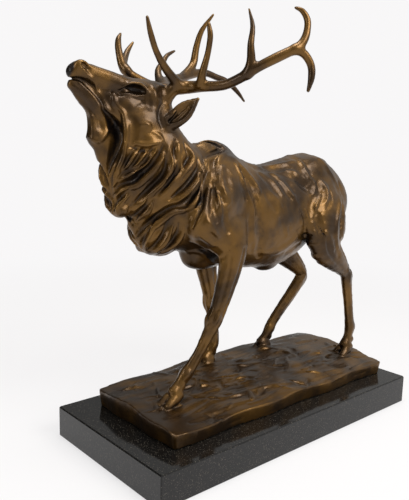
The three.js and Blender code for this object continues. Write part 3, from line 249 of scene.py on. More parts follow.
def dab(wax, centre, radii, axes=((1, 0, 0), (0, 1, 0), (0, 0, 1)), blend=6.0, cut=False):
    """An oval dab of wax, or a hollow pressed with one."""
    reach = max(radii) + blend + MARGIN
    win = wax.window(np.asarray(centre) - reach, np.asarray(centre) + reach)
    x, y, z = [line - centre[i] for i, line in enumerate(wax.axes(win))]
    v = [x * a[0] + y * a[1] + z * a[2] for a in axes]
    q = np.sqrt(sum((v[i] / radii[i]) ** 2 for i in range(3))) + 1e-6
    away = np.sqrt(x * x + y * y + z * z)
    wax.merge(win, np.where(q < 1, (q - 1) * min(radii), away * (1 - 1 / q)), blend, cut)


def on_head(row):
    """A place or a row given forward of, left of and above the poll, in the figure's own frame."""
    return [*(POLL + row[0] * FORWARD + row[1] * LEFT + row[2] * UPWARD), *row[3:]]


def head_limb(wax, rows, side=LEFT, **how):
    limb(wax, [on_head(row) for row in rows], side, **how)


def head_dab(wax, row, radii, **how):
    dab(wax, on_head(row), radii, axes=HEAD_AXES, **how)


def torso(wax):
    """Barrel, withers, hips, shoulders and tail."""
    barrel = [
        (-86, 212, 29, 36), (-54, 224, 38, 60), (-20, 216, 41, 62), (10, 211, 43, 60.5), (42, 211, 43, 62),
        (72, 222, 40, 59), (102, 233, 37, 54), (130, 231, 33, 44), (151, 225, 27, 33),
    ]
    limb(wax, [(x, MIDDLE, z, w, d) for x, z, w, d in barrel], blend=10)
    dab(wax, (-60, MIDDLE, 276), (26, 13, 23), blend=14)
    dab(wax, (-46, MIDDLE, 273.5), (22, 13, 21), blend=10)
    dab(wax, (-66, MIDDLE, 170), (24, 15, 14), blend=10)
    dab(wax, (-80, MIDDLE, 178), (12, 13, 14), blend=8)
    dab(wax, (36, MIDDLE - 4, 150), (16, 6, 6), blend=8)
    for s in (-1, 1):
        dab(wax, (100, MIDDLE + s * 20, 269), (20, 10, 12), blend=12)
        dab(wax, (146, MIDDLE + s * 19, 219), (17, 13, 30), blend=10)
        blade = [(-38, 18, 270, 8, 16), (-56, 31, 248, 10, 20),
                 (-76, 36, 227, 11, 20), (-92, 33, 211, 11, 14)]
        arm = [(-92, 32, 211, 13, 16), (-70, 35, 199, 13, 20), (-52, 34, 193, 11, 18)]
        for rows in (blade, arm):
            limb(wax, [(x, MIDDLE + s * y, z, w, d) for x, y, z, w, d in rows], blend=12)
    tail = [(146, 253, 8, 8), (160, 247, 7, 7), (169, 234, 6, 6), (172, 218, 4.5, 5)]
    limb(wax, [(x, MIDDLE, z, w, d) for x, z, w, d in tail])


def neck(wax):
    """Nape, core, mane and gullet, with sections that turn from the head's side to the body's."""
    nape = [
        (-118, 20, 327, 15, 11.5), (-117, 20, 307, 20, 17), (-111, 18, 285, 26, 25),
        (-92, 15, 261, 29, 32), (-68, 12, 251, 30, 38),
    ]
    limb(wax, nape, [LEFT, LEFT, LEFT, ACROSS, ACROSS], blend=10)
    mane_front = [
        (-150.5, 27, 303, 19, 17.5), (-154.5, 29, 277, 21, 19), (-153, 28, 251, 21, 22),
        (-135, 26, 223, 22, 16), (-123, 22, 201, 25, 25), (-107, 18, 203, 25, 21.5),
    ]
    limb(wax, mane_front, [LEFT, LEFT, LEFT, LEFT, ACROSS, ACROSS], blend=10)
    dab(wax, (-165, 25, 227), (10, 12, 8.5), blend=6)
    core = [
        (-132, 23, 315, 21, 22), (-131, 23, 287, 25, 29), (-122, 21, 257, 29, 34), (-102, 17, 233, 31, 38),
    ]
    limb(wax, core, [LEFT, LEFT, LEFT, ACROSS], blend=10)
    gullet = [
        (80, 0, -31, 7, 7), (73, 0, -46, 8, 9), (68, 0, -62, 8.5, 10), (57, 0, -80, 9.5, 12),
        (46, 0, -100, 12, 14.5), (37, 0, -122, 14, 15),
    ]
    head_limb(wax, gullet)
    head_dab(wax, (72, 0, -64), (8.5, 8, 10), blend=5)
    head_limb(wax, [(66, 0, -40, 7, 8), (60, 0, -56, 7, 9), (54, 0, -76, 7, 9)], blend=6)


def head(wax):
    """Skull and lower jaw, before the carving of the face."""
    skull = [
        (101, 0, -7.2, 7.5, 8), (96, 0, -6, 9, 9.8), (83, 0, -6.8, 9, 10), (62, 0, -9.6, 11.5, 10.5),
        (45, 0, -12.2, 15.5, 11.5), (30, 0, -13.8, 18, 14.5), (15, 0, -14, 15.5, 15), (6, 0, -13, 9.5, 9.5),
    ]
    head_limb(wax, skull, blend=5)
    jaw = [
        (101, 0, -19.5, 5.5, 5), (96, 0, -22, 7, 6.5), (86, 0, -28.8, 8, 9), (70, 0, -36, 10, 12),
        (50, 0, -38, 14, 16), (32, 0, -43, 17, 19), (18, 0, -43, 18, 21),
    ]
    head_limb(wax, jaw, blend=4)
    cheek_web = [(80, 0, -20, 3, 3.5), (72, 0, -23, 6.5, 6), (60, 0, -25, 11.5, 9), (48, 0, -27, 14, 10)]
    head_limb(wax, cheek_web, blend=4)


LEGS = {
    "near_hind": (
        [(114, -5, 245, 20, 28), (109, -17, 221, 21, 38), (102, -27, 197, 17, 38),
         (101, -31, 175, 13, 26), (119, -32, 157, 10.5, 17.5), (137, -31, 144, 8, 12),
         (148, -30, 134, 6.5, 9.5), (152.5, -29, 122, 6, 8.5), (157, -28.5, 105, 5.7, 7.8),
         (162.5, -28, 83, 5.4, 7.6), (167, -27, 65, 5.6, 7.8), (170, -26.5, 55, 6.3, 8.4),
         (167, -26, 43, 5.2, 6.4), (162.5, -26, 33, 7, 8.7)],
        (159, -25, 26)),
    "far_hind": (
        [(120, 30, 255, 20, 32), (110, 40, 227, 21, 40), (90, 45, 197, 17, 34), (92, 45, 173, 13, 26),
         (108, 41, 153, 10.5, 17.5), (127, 38, 137, 8.5, 12.5), (140, 37, 124, 7, 9.5),
         (136.5, 38, 113, 6, 9.4), (123.5, 40, 96, 6, 9.2), (107, 43, 76, 5.6, 8.4),
         (94.5, 46, 59, 5.6, 7.8), (90, 46.5, 51, 6.3, 8.2), (83, 47, 41, 5.2, 6.4), (77.5, 48, 33, 7, 8.6)],
        (76, 49, 27)),
    "near_fore": (
        [(-60, -22, 205, 12, 26), (-56, -28, 187, 12, 20), (-60, -30, 165, 10.5, 15),
         (-67, -29, 140, 9, 12), (-74, -27, 117, 7.5, 10), (-79, -25, 104, 8, 9.5),
         (-84, -23, 91, 6, 7.7), (-92.5, -20, 73, 5.3, 6.8), (-101, -17, 59, 5.8, 7),
         (-107, -16, 51, 6.4, 7.8), (-115, -15, 41, 5.4, 6.4), (-121, -15, 33, 7, 9)],
        (-127, -14, 26)),
    "far_fore": (
        [(-50, 44, 205, 12, 26), (-42, 46, 187, 12, 22), (-31, 47, 165, 11, 17.5), (-24, 47, 137, 9, 13),
         (-18.5, 47, 113, 8, 10.5), (-16, 47, 99, 8, 10), (-14, 47, 85, 6, 8), (-12, 47, 69, 5.2, 7),
         (-11, 47, 55, 5.8, 7), (-12, 48, 47, 6.4, 7.8), (-17.5, 48, 38, 5.4, 6.2), (-22, 48, 32, 7, 9)],
        (-25, 49, 26)),
}


# Strokes on a leg: first and last row, turn from the far side towards the rear, half width, rise or depth
HIND_STROKES = [
    (3, 6.4, 140, 3.6, -2.6), (2.5, 5, 205, 3, -1.6), (7.6, 10.4, 140, 2, -1.5), (7.6, 10.4, 215, 1.8, -1.1),
    (5.4, 7, 180, 3, 2), (5, 6.6, 120, 2, -1.8), (10.6, 12, 150, 2, -1), (6, 7.4, 90, 3.2, 1.2),
]
FORE_STROKES = [
    (1, 4, 160, 3, -2), (1.4, 4, 215, 2.6, -1.6), (5.4, 8.4, 145, 2, -1.5), (5.4, 8.4, 215, 1.8, -1.1),
    (4, 5.2, 205, 2.8, 2.2), (4, 5.2, 250, 2.8, 2.2), (3.4, 4.4, 160, 2.4, -1.8), (5.1, 5.7, 230, 2.6, -1.2),
    (8.6, 9.6, 200, 3, 1.4), (8.8, 10, 150, 2, -1),
]


def leg(wax, rows, hoof):
    """A leg with its cloven hoof and its two dewclaws."""
    limb(wax, rows, blend=6)
    x, y, z = hoof
    for s in (-1, 1):
        toe = [
            (x + 9, y + s * 4.5, z + 4, 4.5, 6), (x + 1, y + s * 5, z, 5, 6.5),
            (x - 9, y + s * 5.5, z - 4, 4.5, 3),
        ]
        limb(wax, toe, blend=2)
        dab(wax, (x + 12.5, y + s * 4, z + 13), (3.4, 3, 4), blend=3)


def sinews(wax, rows, strokes):
    """Grooves and knobs of a leg, the same on its outer and its inner side."""
    rows = np.array(rows)
    for first, last, turn, width, rise in strokes:
        at = np.linspace(first, last, 6)
        x, y, z, w, d = [np.interp(at, range(len(rows)), column) for column in rows.T]
        down = np.gradient(np.stack([x, z], 1), axis=0)
        down /= np.linalg.norm(down, axis=1)[:, None]
        for angle in np.radians([turn, 180 - turn]):
            back = d * np.sin(angle)
            path = np.stack([x - back * down[:, 1], y + w * np.cos(angle), z + back * down[:, 0]], 1)
            lay(wax, path, width, rise)


def press(wax, spots, out, width, rise, blend=1.5, ends=0.3, early=0.5, per_span=1):
    """A ridge, or with a rise below zero a groove, through places on the skin and their ways out."""
    across = units(np.cross(out, np.gradient(spots, axis=0)))
    k = ((np.arange(len(spots)) + 0.5) / len(spots)) ** (np.log(0.5) / np.log(early))
    swell = (ends + (1 - ends) * np.sin(np.pi * k))[:, None]
    depth = 1.8 * abs(rise) * swell
    centres = spots - np.sign(rise) * out * (depth - abs(rise) * swell)
    limb(wax, np.hstack([centres, width * swell, depth]), across, blend, rise < 0, per_span)


# How far off the skin a stroke's places may be
LAY_REACH = 9.0


def even(rows, turns=2):
    """Takes the jolts out of a path."""
    for _ in range(turns):
        rows = np.vstack([rows[:1], (rows[:-2] + 2 * rows[1:-1] + rows[2:]) / 4, rows[-1:]])
    return rows


def lay(wax, spots, width, rise, shift=0.0, **how):
    """Presses a stroke along rough places, which settle on the skin first; shift moves it sideways."""
    spots = np.asarray(spots, float)[:, :3]
    spots = spots[np.abs(wax.values(spots)) < LAY_REACH]
    if len(spots) < 2:
        return
    spots = even(wax.settle(smooth(spots)))
    out = even(wax.outward(spots, reach=3))
    if shift:
        across = units(np.cross(out, np.gradient(spots, axis=0)))
        spots = even(wax.settle(spots + shift * across))
        out = even(wax.outward(spots, reach=3))
    press(wax, spots, out, width, rise, **how)


# An ear's leaf, scoop, rib and tuft: share of its length, places out and over, and sizes, then blend and cut
EAR = [
    ([(-0.12, -1, 0, 7, 7), (0.25, -0.6, 0, 10, 5.6), (0.6, -0.6, 0, 9.5, 4.8), (1, 0, 0, 1.8, 1.7)],
     3, False),
    ([(0.1, 3.6, 0, 3, 3), (0.36, 3.8, 0, 7, 4.4), (0.66, 3.4, 0, 6, 3.4), (0.92, 3, 0, 1.5, 1)], 1.5, True),
    ([(0.1, 1, 1.5, 1.6, 1.6), (0.4, -0.4, 0.5, 1.2, 1.2), (0.8, 0.6, 0, 0.7, 0.7)], 1.2, False),
    ([(0.02, 4, -5, 3, 3), (0.2, 4, -4, 2.4, 2.4), (0.34, 2.4, -5, 1, 1)], 1.5, False),
]


def ear(wax, s):
    """A leaf-shaped ear, scooped on the side that faces out."""
    base, tip = np.array(on_head((4, s * 22, -40))), np.array(on_head((-12, s * 46, -13.5)))
    way = unit(tip - base)
    face = unit(np.cross(way, UPWARD))
    face = -face if face @ LEFT * s < 0 else face
    width = unit(np.cross(way, face))
    for rows, blend, cut in EAR:
        form = [
            [*(base + share * (tip - base) + out * face + over * width), *sizes]
            for share, out, over, *sizes in rows
        ]
        limb(wax, form, width, blend, cut)


# Folds of the face, in places forward of, beside and above the poll: half width, then rise or depth
FACE_FOLDS = [
    ([(71, 9, -37), (63, 9, -44), (57, 11, -52), (55, 15, -62), (56, 15, -74), (58, 13, -86),
      (60, 11, -99)], 7, -8),
    ([(62, 9, -24), (57, 11, -31), (52, 13, -35), (49, 16, -42), (47, 20, -52), (47, 21, -63),
      (49, 21, -73), (51, 19, -84), (53, 17, -96), (55, 14, -108)], 4.2, 3.8),
    ([(42, 20, -42), (40, 23, -54), (41, 23, -66)], 5, -1.4),
    ([(58, 9, -18), (53, 13, -13), (49, 15, -9), (44, 15, -6.5), (38, 16, -6.5), (33, 17, -9),
      (31, 18, -15)], 2.4, 2),
    ([(58, 9, -19), (48, 13, -20), (41, 15, -20), (35, 17, -19)], 2, 1.2),
    ([(86, 7, 1), (74, 8, -2), (62, 9, -3), (52, 11, -3)], 3, 0.8),
    ([(34, 22, -47), (30, 24, -45), (27, 24, -47), (28, 24, -51)], 3.2, 1.8),
    ([(38, 24, -65), (30, 26, -65), (25, 27, -64), (18, 27, -61), (11, 27, -60)], 4, 3.2),
    ([(22, 26, -52), (15, 26, -54), (11, 27, -59)], 2.5, 1.6),
    ([(43, 23, -69), (35, 24, -71), (28, 26, -72), (20, 27, -69)], 3.2, -3.8),
    ([(61, 6, -20), (60, 8, -26), (59, 11, -32)], 3.5, 2.2),
    ([(62, 6, -20), (56, 7, -22), (52, 9, -24)], 1.3, -1.6),
    ([(78, 6, -22), (75, 8, -26), (72, 9, -31), (68, 10, -36), (62, 12, -41)], 2, 2),
    ([(97, 8, 1), (95, 9, -3), (92, 9, -7), (88, 9, -10), (84, 9, -13), (80, 9, -17),
      (77, 8, -21)], 1.8, 1.7),
    ([(96, 8, -1), (91, 9, -4), (87, 9, -6)], 1.2, -1),
    ([(104, 3, -16), (101, 6, -15), (97, 8, -15), (92, 8, -18), (87, 8, -22), (82, 8, -27), (78, 9, -31),
      (74, 10, -37)], 2.2, 1.9),
    ([(84, 4, -37), (80, 6, -44), (79, 6, -52), (77, 7, -60), (76, 7, -67)], 2.6, 1.6),
    ([(79, 4, -66), (76, 7, -68), (71, 9, -69), (66, 10, -64), (62, 9, -57)], 3, 2),
    ([(72, 8, -48), (70, 9, -55)], 4, -2),
    ([(97, 4, -28), (91, 6, -33), (84, 7, -39), (78, 8, -44)], 3, -2),
    ([(24, 16, -4), (24, 17, -11), (22, 18, -18)], 2.6, 1.3),
    ([(21, 16, -9), (17, 13, -4), (10, 12, 0), (3, 13, 1)], 2, 1.4),
    ([(29, 18, -16), (28, 19, -23), (27, 21, -31)], 3.4, -0.8),
    ([(12, 16, -22), (16, 20, -29), (17, 23, -37), (13, 25, -45)], 2.6, -2.4),
    ([(37, 24, -102), (32, 25, -96), (27, 26, -93), (22, 27, -91)], 4.5, -4.5),
]
# Dabs for the cheek, behind the eye, under it, the nostril and the jaw's corner: place, radii and blend
FACE_DABS = [
    ((32, 18, -46), (15, 5.4, 17), 12), ((24, 17, -20), (8, 3.6, 8), 6), ((45, 13, -28), (12, 4, 8), 6),
    ((96, 6, -0.5), (7, 4.5, 5.5), 3), ((21, 24.5, -58), (9, 4, 5), 3),
]
MOUTH = [(108, 0, -14.5, 3, 1), (102, 4, -14, 3.4, 1.4), (95, 7.5, -13.8, 5.5, 2.4), (87, 8, -17, 6, 3.2),
         (80, 8.5, -22.5, 5, 3), (74, 9.5, -28.5, 3.4, 2.2), (70, 10.5, -35, 2, 1.4)]
EYE = [(59, 10.5, -18, 1, 0.8), (53, 13, -15.5, 5, 2.4), (46, 15, -13, 7.5, 4.4), (40, 17, -12.8, 8, 5),
       (35, 18.5, -13.6, 5, 3.4)]
NOSTRIL = [(96.5, 8.2, 0.2, 2.4, 2), (93, 9, -0.7, 4, 3.1), (89, 9.2, -2.6, 2.6, 2)]


def face(wax):
    """Mouth, nostrils, eyes, cheeks and the folds between them, on both sides."""
    for s in (-1, 1):
        def side(rows):
            return [(a, s * b, c, *sizes) for a, b, c, *sizes in rows]

        for (x, y, z), radii, blend in FACE_DABS:
            head_dab(wax, (x, s * y, z), radii, blend=blend)
        for places, width, rise in FACE_FOLDS:
            lay(wax, [on_head(place) for place in side(places)], width, rise, blend=2)
        head_limb(wax, side(MOUTH), blend=1, cut=True)
        head_limb(wax, side(EYE), blend=1, cut=True)
        head_dab(wax, (50, s * 8, -15.5), (5, 3.4, 2.6), blend=1)
        head_limb(wax, side(NOSTRIL), blend=1, cut=True)
        ear(wax, s)
    head_limb(wax, [(98, 0, -14, 2.4, 2), (86, 0, -19, 3.4, 3.4), (73, 0, -27, 5, 5)], blend=2)


# Muscles and folds of the near flank and the chest, mirrored to the far side: half width, then rise or depth
FLANK_FOLDS = [
    ([(-65, -18, 272), (-71, -23, 260), (-74, -28, 251), (-71, -32, 244), (-68, -33, 237),
      (-72, -34, 230)], 5, 2),
    ([(-81, -31, 243), (-83, -34, 232), (-79, -35, 222)], 5, 2.2),
    ([(-77, -28, 247), (-77, -32, 236)], 2.4, -1.2),
    ([(-96, -30, 228), (-98, -33, 219), (-92, -36, 208), (-84, -38, 200)], 3.4, 2),
    ([(-84, -24, 256), (-88, -29, 243), (-90, -32, 232)], 4.5, -3),
    ([(-43, -16, 275), (-40, -22, 263), (-35, -25, 251), (-31, -27, 240), (-28, -28, 225),
      (-24, -28, 208), (-21, -25, 190)], 4.2, 2),
    ([(-36, -18, 268), (-30, -22, 256), (-25, -24, 244), (-21, -27, 228)], 7, -2.2),
    ([(-38, -14, 274), (-27, -17, 265), (-18, -20, 256), (-13, -24, 244)], 3, 1.7),
    ([(5, 3, 272), (21, -10, 263), (29, -18, 255), (36, -24, 244), (44, -28, 232), (51, -30, 218),
      (56, -29, 204)], 3.6, 1.8),
    ([(-2, -14, 264), (9, -22, 252), (18, -27, 238)], 6, -1.6),
    ([(7, -24, 243), (17, -28, 234), (25, -31, 220), (32, -31, 205)], 3, 1),
    ([(-20, -29, 224), (-15, -29, 206), (-10, -27, 190), (-9, -22, 177)], 9, -1.4),
    ([(-2, -20, 174), (19, -22, 172), (36, -25, 178), (51, -27, 189)], 5, 1.3),
    ([(-11, -4, 273), (23, 2, 272), (45, 0, 274), (67, -3, 278)], 3, 1.3),
    ([(-5, -8, 268), (23, -6, 268), (48, -8, 270)], 4, -1.4),
    ([(74, -6, 277), (73, -13, 268), (76, -20, 257)], 4, 2.4),
    ([(47, -10, 266), (54, -13, 265), (61, -17, 260)], 2.2, 1.4),
    ([(52, -18, 256), (63, -22, 250), (74, -25, 243)], 7, -3.8),
    ([(78, -20, 256), (83, -23, 249), (82, -25, 242), (74, -27, 235)], 2.4, 2),
    ([(96, -24, 253), (100, -27, 246), (98, -31, 238), (93, -34, 231), (85, -34, 226)], 4.4, 2.8),
    ([(88, -24, 252), (89, -28, 243), (84, -31, 236)], 3, -2.2),
    ([(93, -29, 241), (84, -32, 232), (76, -33, 222), (70, -33, 212)], 2.4, 2),
    ([(57, -29, 226), (63, -30, 213), (67, -31, 201), (68, -31, 192)], 3.4, 2),
    ([(73, -33, 220), (76, -38, 205), (81, -41, 191)], 6, -2.6),
    ([(60, -26, 188), (66, -27, 188), (70, -31, 189)], 3.5, -3.2),
    ([(101, -12, 278), (114, -17, 268), (127, -22, 252), (128, -28, 237), (116, -36, 221),
      (106, -42, 205), (104, -44, 187), (111, -43, 172)], 4.5, 2.6),
    ([(140, -14, 250), (136, -26, 234), (128, -34, 220), (118, -41, 204), (117, -43, 187)], 5, -2.8),
    ([(86, -42, 193), (93, -44, 183), (101, -44, 170)], 4, 1.8),
    ([(-99, -11, 194), (-97, -21, 193), (-87, -21, 187)], 2.6, 2),
    ([(-94, 4, 180), (-86, -3, 181), (-74, -5, 176), (-59, -2, 163)], 2.6, 2),
    ([(-102, -28, 202), (-94, -30, 197), (-85, -30, 190)], 2.6, 1.8),
]


def flanks(wax):
    """Shoulder blades, ribs, hips and thighs, with long light strokes of the modelling tool between them."""
    random = np.random.default_rng(5)
    for s in (1, -1):
        strokes = []
        for places, width, rise in FLANK_FOLDS:
            strokes.append([(x, MIDDLE + s * (y - MIDDLE), z) for x, y, z in places])
            lay(wax, strokes[-1], width, rise, blend=3)
        comb(wax, flow_along(strokes), random, strands=60, depth=0.4, width=4.5, stride=5, blend=3)


def flow_along(strokes):
    """The places along several strokes and their unit directions, in one table."""
    lines = [smooth(stroke) for stroke in strokes]
    flow = np.vstack([np.hstack([line, np.gradient(line, axis=0)]) for line in lines])
    flow[:, 3:] /= np.linalg.norm(flow[:, 3:], axis=1)[:, None]
    return flow


# The neck: its axis from under the jaw to the chest, and the ways to its throat and to its near side
NECK_AXIS = [(-134, 24, 300), (-132, 24, 276), (-124, 21, 248), (-108, 17, 222), (-88, 13, 205)]
THROAT_WAY = [(-0.99, 0.1, 0.1), (-0.99, 0.1, -0.1), (-0.9, 0.1, -0.42), (-0.72, 0.1, -0.69), (-0.6, 0, -0.8)]
NECK_SIDE = [(-0.24, -0.97, 0), (-0.22, -0.97, 0), (-0.14, -0.99, 0), (-0.06, -1, 0), (0, -1, 0)]

# Locks of the mane, by share of the way down the neck and angle from its side to the throat: half width, rise
LOCKS = [
    ([(0.02, 62), (0.1, 63), (0.2, 67), (0.29, 76), (0.37, 83), (0.43, 83)], 5, 3.6),
    ([(0.12, 42), (0.18, 50), (0.25, 58), (0.3, 68)], 3.5, 2.2),
    ([(0.13, 22), (0.2, 34), (0.27, 46), (0.31, 58), (0.34, 72)], 4, 2.8),
    ([(0.12, -2), (0.19, 9), (0.26, 20), (0.29, 36), (0.31, 52), (0.32, 70)], 4.5, 3.2),
    ([(0.08, -26), (0.16, -20), (0.25, -6), (0.31, 14), (0.35, 36), (0.4, 56), (0.39, 74),
      (0.43, 83)], 5.5, 4.2),
    ([(0.12, -27), (0.25, -27), (0.36, -16), (0.43, 4), (0.47, 30), (0.51, 54), (0.54, 74)], 5.5, 4),
    ([(0.02, -44), (0.12, -38), (0.24, -36)], 4, 2.4),
    ([(0.02, -58), (0.12, -55), (0.24, -54), (0.33, -46), (0.4, -34), (0.45, -22)], 5, 3.2),
    ([(0.28, -40), (0.38, -30), (0.46, -12), (0.5, 8), (0.53, 26)], 4.5, 3),
    ([(0.3, -62), (0.45, -58), (0.54, -50), (0.6, -32), (0.61, -10), (0.62, 10)], 6, 4.2),
    ([(0.55, -56), (0.66, -50), (0.72, -34), (0.73, -14), (0.7, 10)], 6.5, 4.4),
    ([(0.05, -84), (0.2, -80), (0.35, -74), (0.5, -69), (0.61, -62)], 5, 2.4),
    ([(0.0, -96), (0.12, -84), (0.3, -67), (0.42, -62)], 4.5, 2),
    ([(0.6, -60), (0.7, -48), (0.77, -36), (0.78, -18)], 4.5, 2.8),
    ([(0.68, -56), (0.76, -40), (0.79, -18), (0.82, 2), (0.86, 12)], 4.5, 2.8),
    ([(0.5, 34), (0.57, 50), (0.59, 66), (0.61, 83)], 5, 3.4),
    ([(0.72, -6), (0.67, 22), (0.68, 46), (0.68, 68), (0.72, 83)], 6, 4.2),
    ([(0.66, 52), (0.71, 68), (0.78, 83)], 4.5, 3),
    ([(0.74, 30), (0.8, 52), (0.83, 70), (0.84, 83)], 5.5, 3.8),
    ([(0.8, 16), (0.87, 34), (0.9, 54), (0.9, 78)], 5, 3.2),
    ([(0.42, 64), (0.47, 80), (0.5, 83)], 4, 3),
]
# How far off a lock its direction is felt
HAIR_REACH = 12.0


def on_neck(bare, share, angle, s):
    """The place on the neck's skin at a share of its length and an angle, on the near or the far side."""
    def pick(rows):
        at = share * (len(rows) - 1)
        return np.array([np.interp(at, range(len(rows)), column) for column in zip(*rows)])

    turn = np.radians(angle)
    way = unit(pick(NECK_SIDE) * (1, s, 1) * np.cos(turn) + pick(THROAT_WAY) * np.sin(turn))
    return bare.meet(pick(NECK_AXIS), way)


def mane(wax):
    """Locks with a crest each, a groove under the crest, and fine hair that flows along them."""
    bare = deepcopy(wax)
    random = np.random.default_rng(7)
    for s in (1, -1):
        strokes = []
        for places, width, rise in LOCKS:
            spots = [on_neck(bare, share, angle, s) for share, angle in places]
            spots = np.array([spot for spot in spots if spot is not None])
            if len(spots) < 2:
                continue
            lay(wax, spots, width * 0.75, -rise, blend=1.6, shift=-s * width * 1.1, early=0.55)
            lay(wax, spots, width * 0.8, rise * 0.95, blend=1.2, ends=0.15, early=0.55)
            strokes.append(spots)
        comb(wax, flow_along(strokes), random, strands=200, depth=0.7, width=1.1)


def comb(wax, flow, random, strands, depth, width, steps=6, stride=3.2, blend=0.8, spread=5):
    """Fine grooves that start near the flow's places and follow its directions."""
    spots = flow[random.integers(len(flow), size=strands), :3] + random.normal(0, spread, (strands, 3))
    paths = []
    for _ in range(steps):
        spots = wax.settle(spots, turns=3)
        paths.append(spots)
        apart = ((spots[:, None] - flow[None, :, :3]) ** 2).sum(2)
        ways = np.exp(-apart / HAIR_REACH ** 2) @ flow[:, 3:] + 1e-6
        spots = spots + stride * ways / np.linalg.norm(ways, axis=1)[:, None]
    paths = np.stack(paths, 1)
    outs = wax.outward(paths.reshape(-1, 3)).reshape(paths.shape)
    for path, out in zip(paths, outs):
        broad, deep = width * random.uniform(0.7, 1.2), depth * random.uniform(0.5, 1.1)
        press(wax, path, out, broad, -deep, blend=blend)


# Beam and tines of each antler, in places on the head, with the half width
NEAR_ANTLER = [
    [(6, 8, -14, 7), (0, 12, -3.5, 7), (-12.5, 18, 0, 6.6), (-22.5, 31, 2, 5.6), (-37, 47.5, 5, 5),
     (-46.5, 63, 13, 5), (-57, 75.5, 24.5, 4.8), (-72.5, 85.5, 37, 5), (-88, 91.5, 48.5, 4.6),
     (-93.5, 92.5, 57.5, 4.1), (-95.5, 91.5, 67.5, 3.5), (-95, 89.5, 77, 3.3), (-89.5, 87, 84, 2.7),
     (-84, 82.5, 86.5, 1.6)],
    [(-85.5, 91.5, 46, 4.4), (-96.5, 92.5, 43.5, 4.1), (-105, 94, 34.5, 3.8), (-107, 95, 23, 3.5),
     (-106, 94.5, 10.5, 1.8)],
    [(-50, 69, 17, 5), (-50, 72, 29, 4.5), (-46, 73.5, 44, 3.4), (-46, 72, 61, 2.5), (-41, 68.5, 76.5, 1.2)],
    [(-19, 32, 3, 5), (-17.5, 36.5, 15, 4), (-18, 40.5, 32, 3.1), (-16, 45, 47.5, 3),
     (-13.5, 45, 56, 2.5), (-13, 43.5, 61, 1.3)],
    [(-5.5, 15.5, -1, 6), (5, 18, 5, 4.8), (17, 21.5, 13, 4.1), (30, 26.5, 24.5, 3.2), (40, 31, 38.5, 3),
     (47, 33.5, 52.5, 1.8)],
]
FAR_ANTLER = [
    [(6, -8, -14, 7), (0, -13, -4, 7), (-5, -26, 2.5, 6.6), (-12, -46, 10, 5.8), (-42, -74, 23, 5.2),
     (-70, -89.5, 36, 5), (-84.5, -92.5, 39.5, 4.2), (-99.5, -94, 38, 3.9), (-116, -95, 36, 3.6),
     (-133, -95, 26.5, 2.8), (-144, -94, 17, 1.4)],
    [(-49, -80, 27, 5), (-63, -88, 45, 4.7), (-64.5, -89, 64.5, 4), (-67.5, -87, 85.5, 3.2),
     (-77.5, -82.5, 106, 1.6)],
    [(-4, -38, 6, 5), (-4.5, -50, 21, 3.7), (-11.5, -57.5, 32, 3.3), (-18, -63, 42.5, 2.6),
     (-27.5, -66, 50, 1.5)],
    [(41.5, -20, 9, 4.5), (42.5, -30, 15, 4.2), (39, -39, 24, 3.6), (35, -45, 33.5, 3), (29, -49, 44, 1.5)],
    [(0, -13, -3, 6), (14, -15, -2, 5.4), (28, -18, 2, 5), (43, -23, 9.5, 4.8), (50, -28, 27, 3.8),
     (51, -32, 39, 3.2), (48.5, -35, 46.5, 1.5)],
]


# Ground: bare plinth at its head end, tail end, near side and far side, and the shape of its slab
MARGINS = (34.0, 14.0, 26.5, 20.5)
GROUND_EDGE = 15.0
GROUND_SWELL = 9.0
GROUND_LUMPS = 1.3
CORNER_RADIUS = 5.0
UNDERCUT = 3.0
STROKES = 46
STROKE_DEPTH = 1.5
STROKE_SPREAD = (0.7549, 0.5698, 0.3247)
STROKE_STEPS = np.array([-1, -0.3, 0.4, 1])
CUTS = 90
SLACK, GROUND_TOP = 8, 44


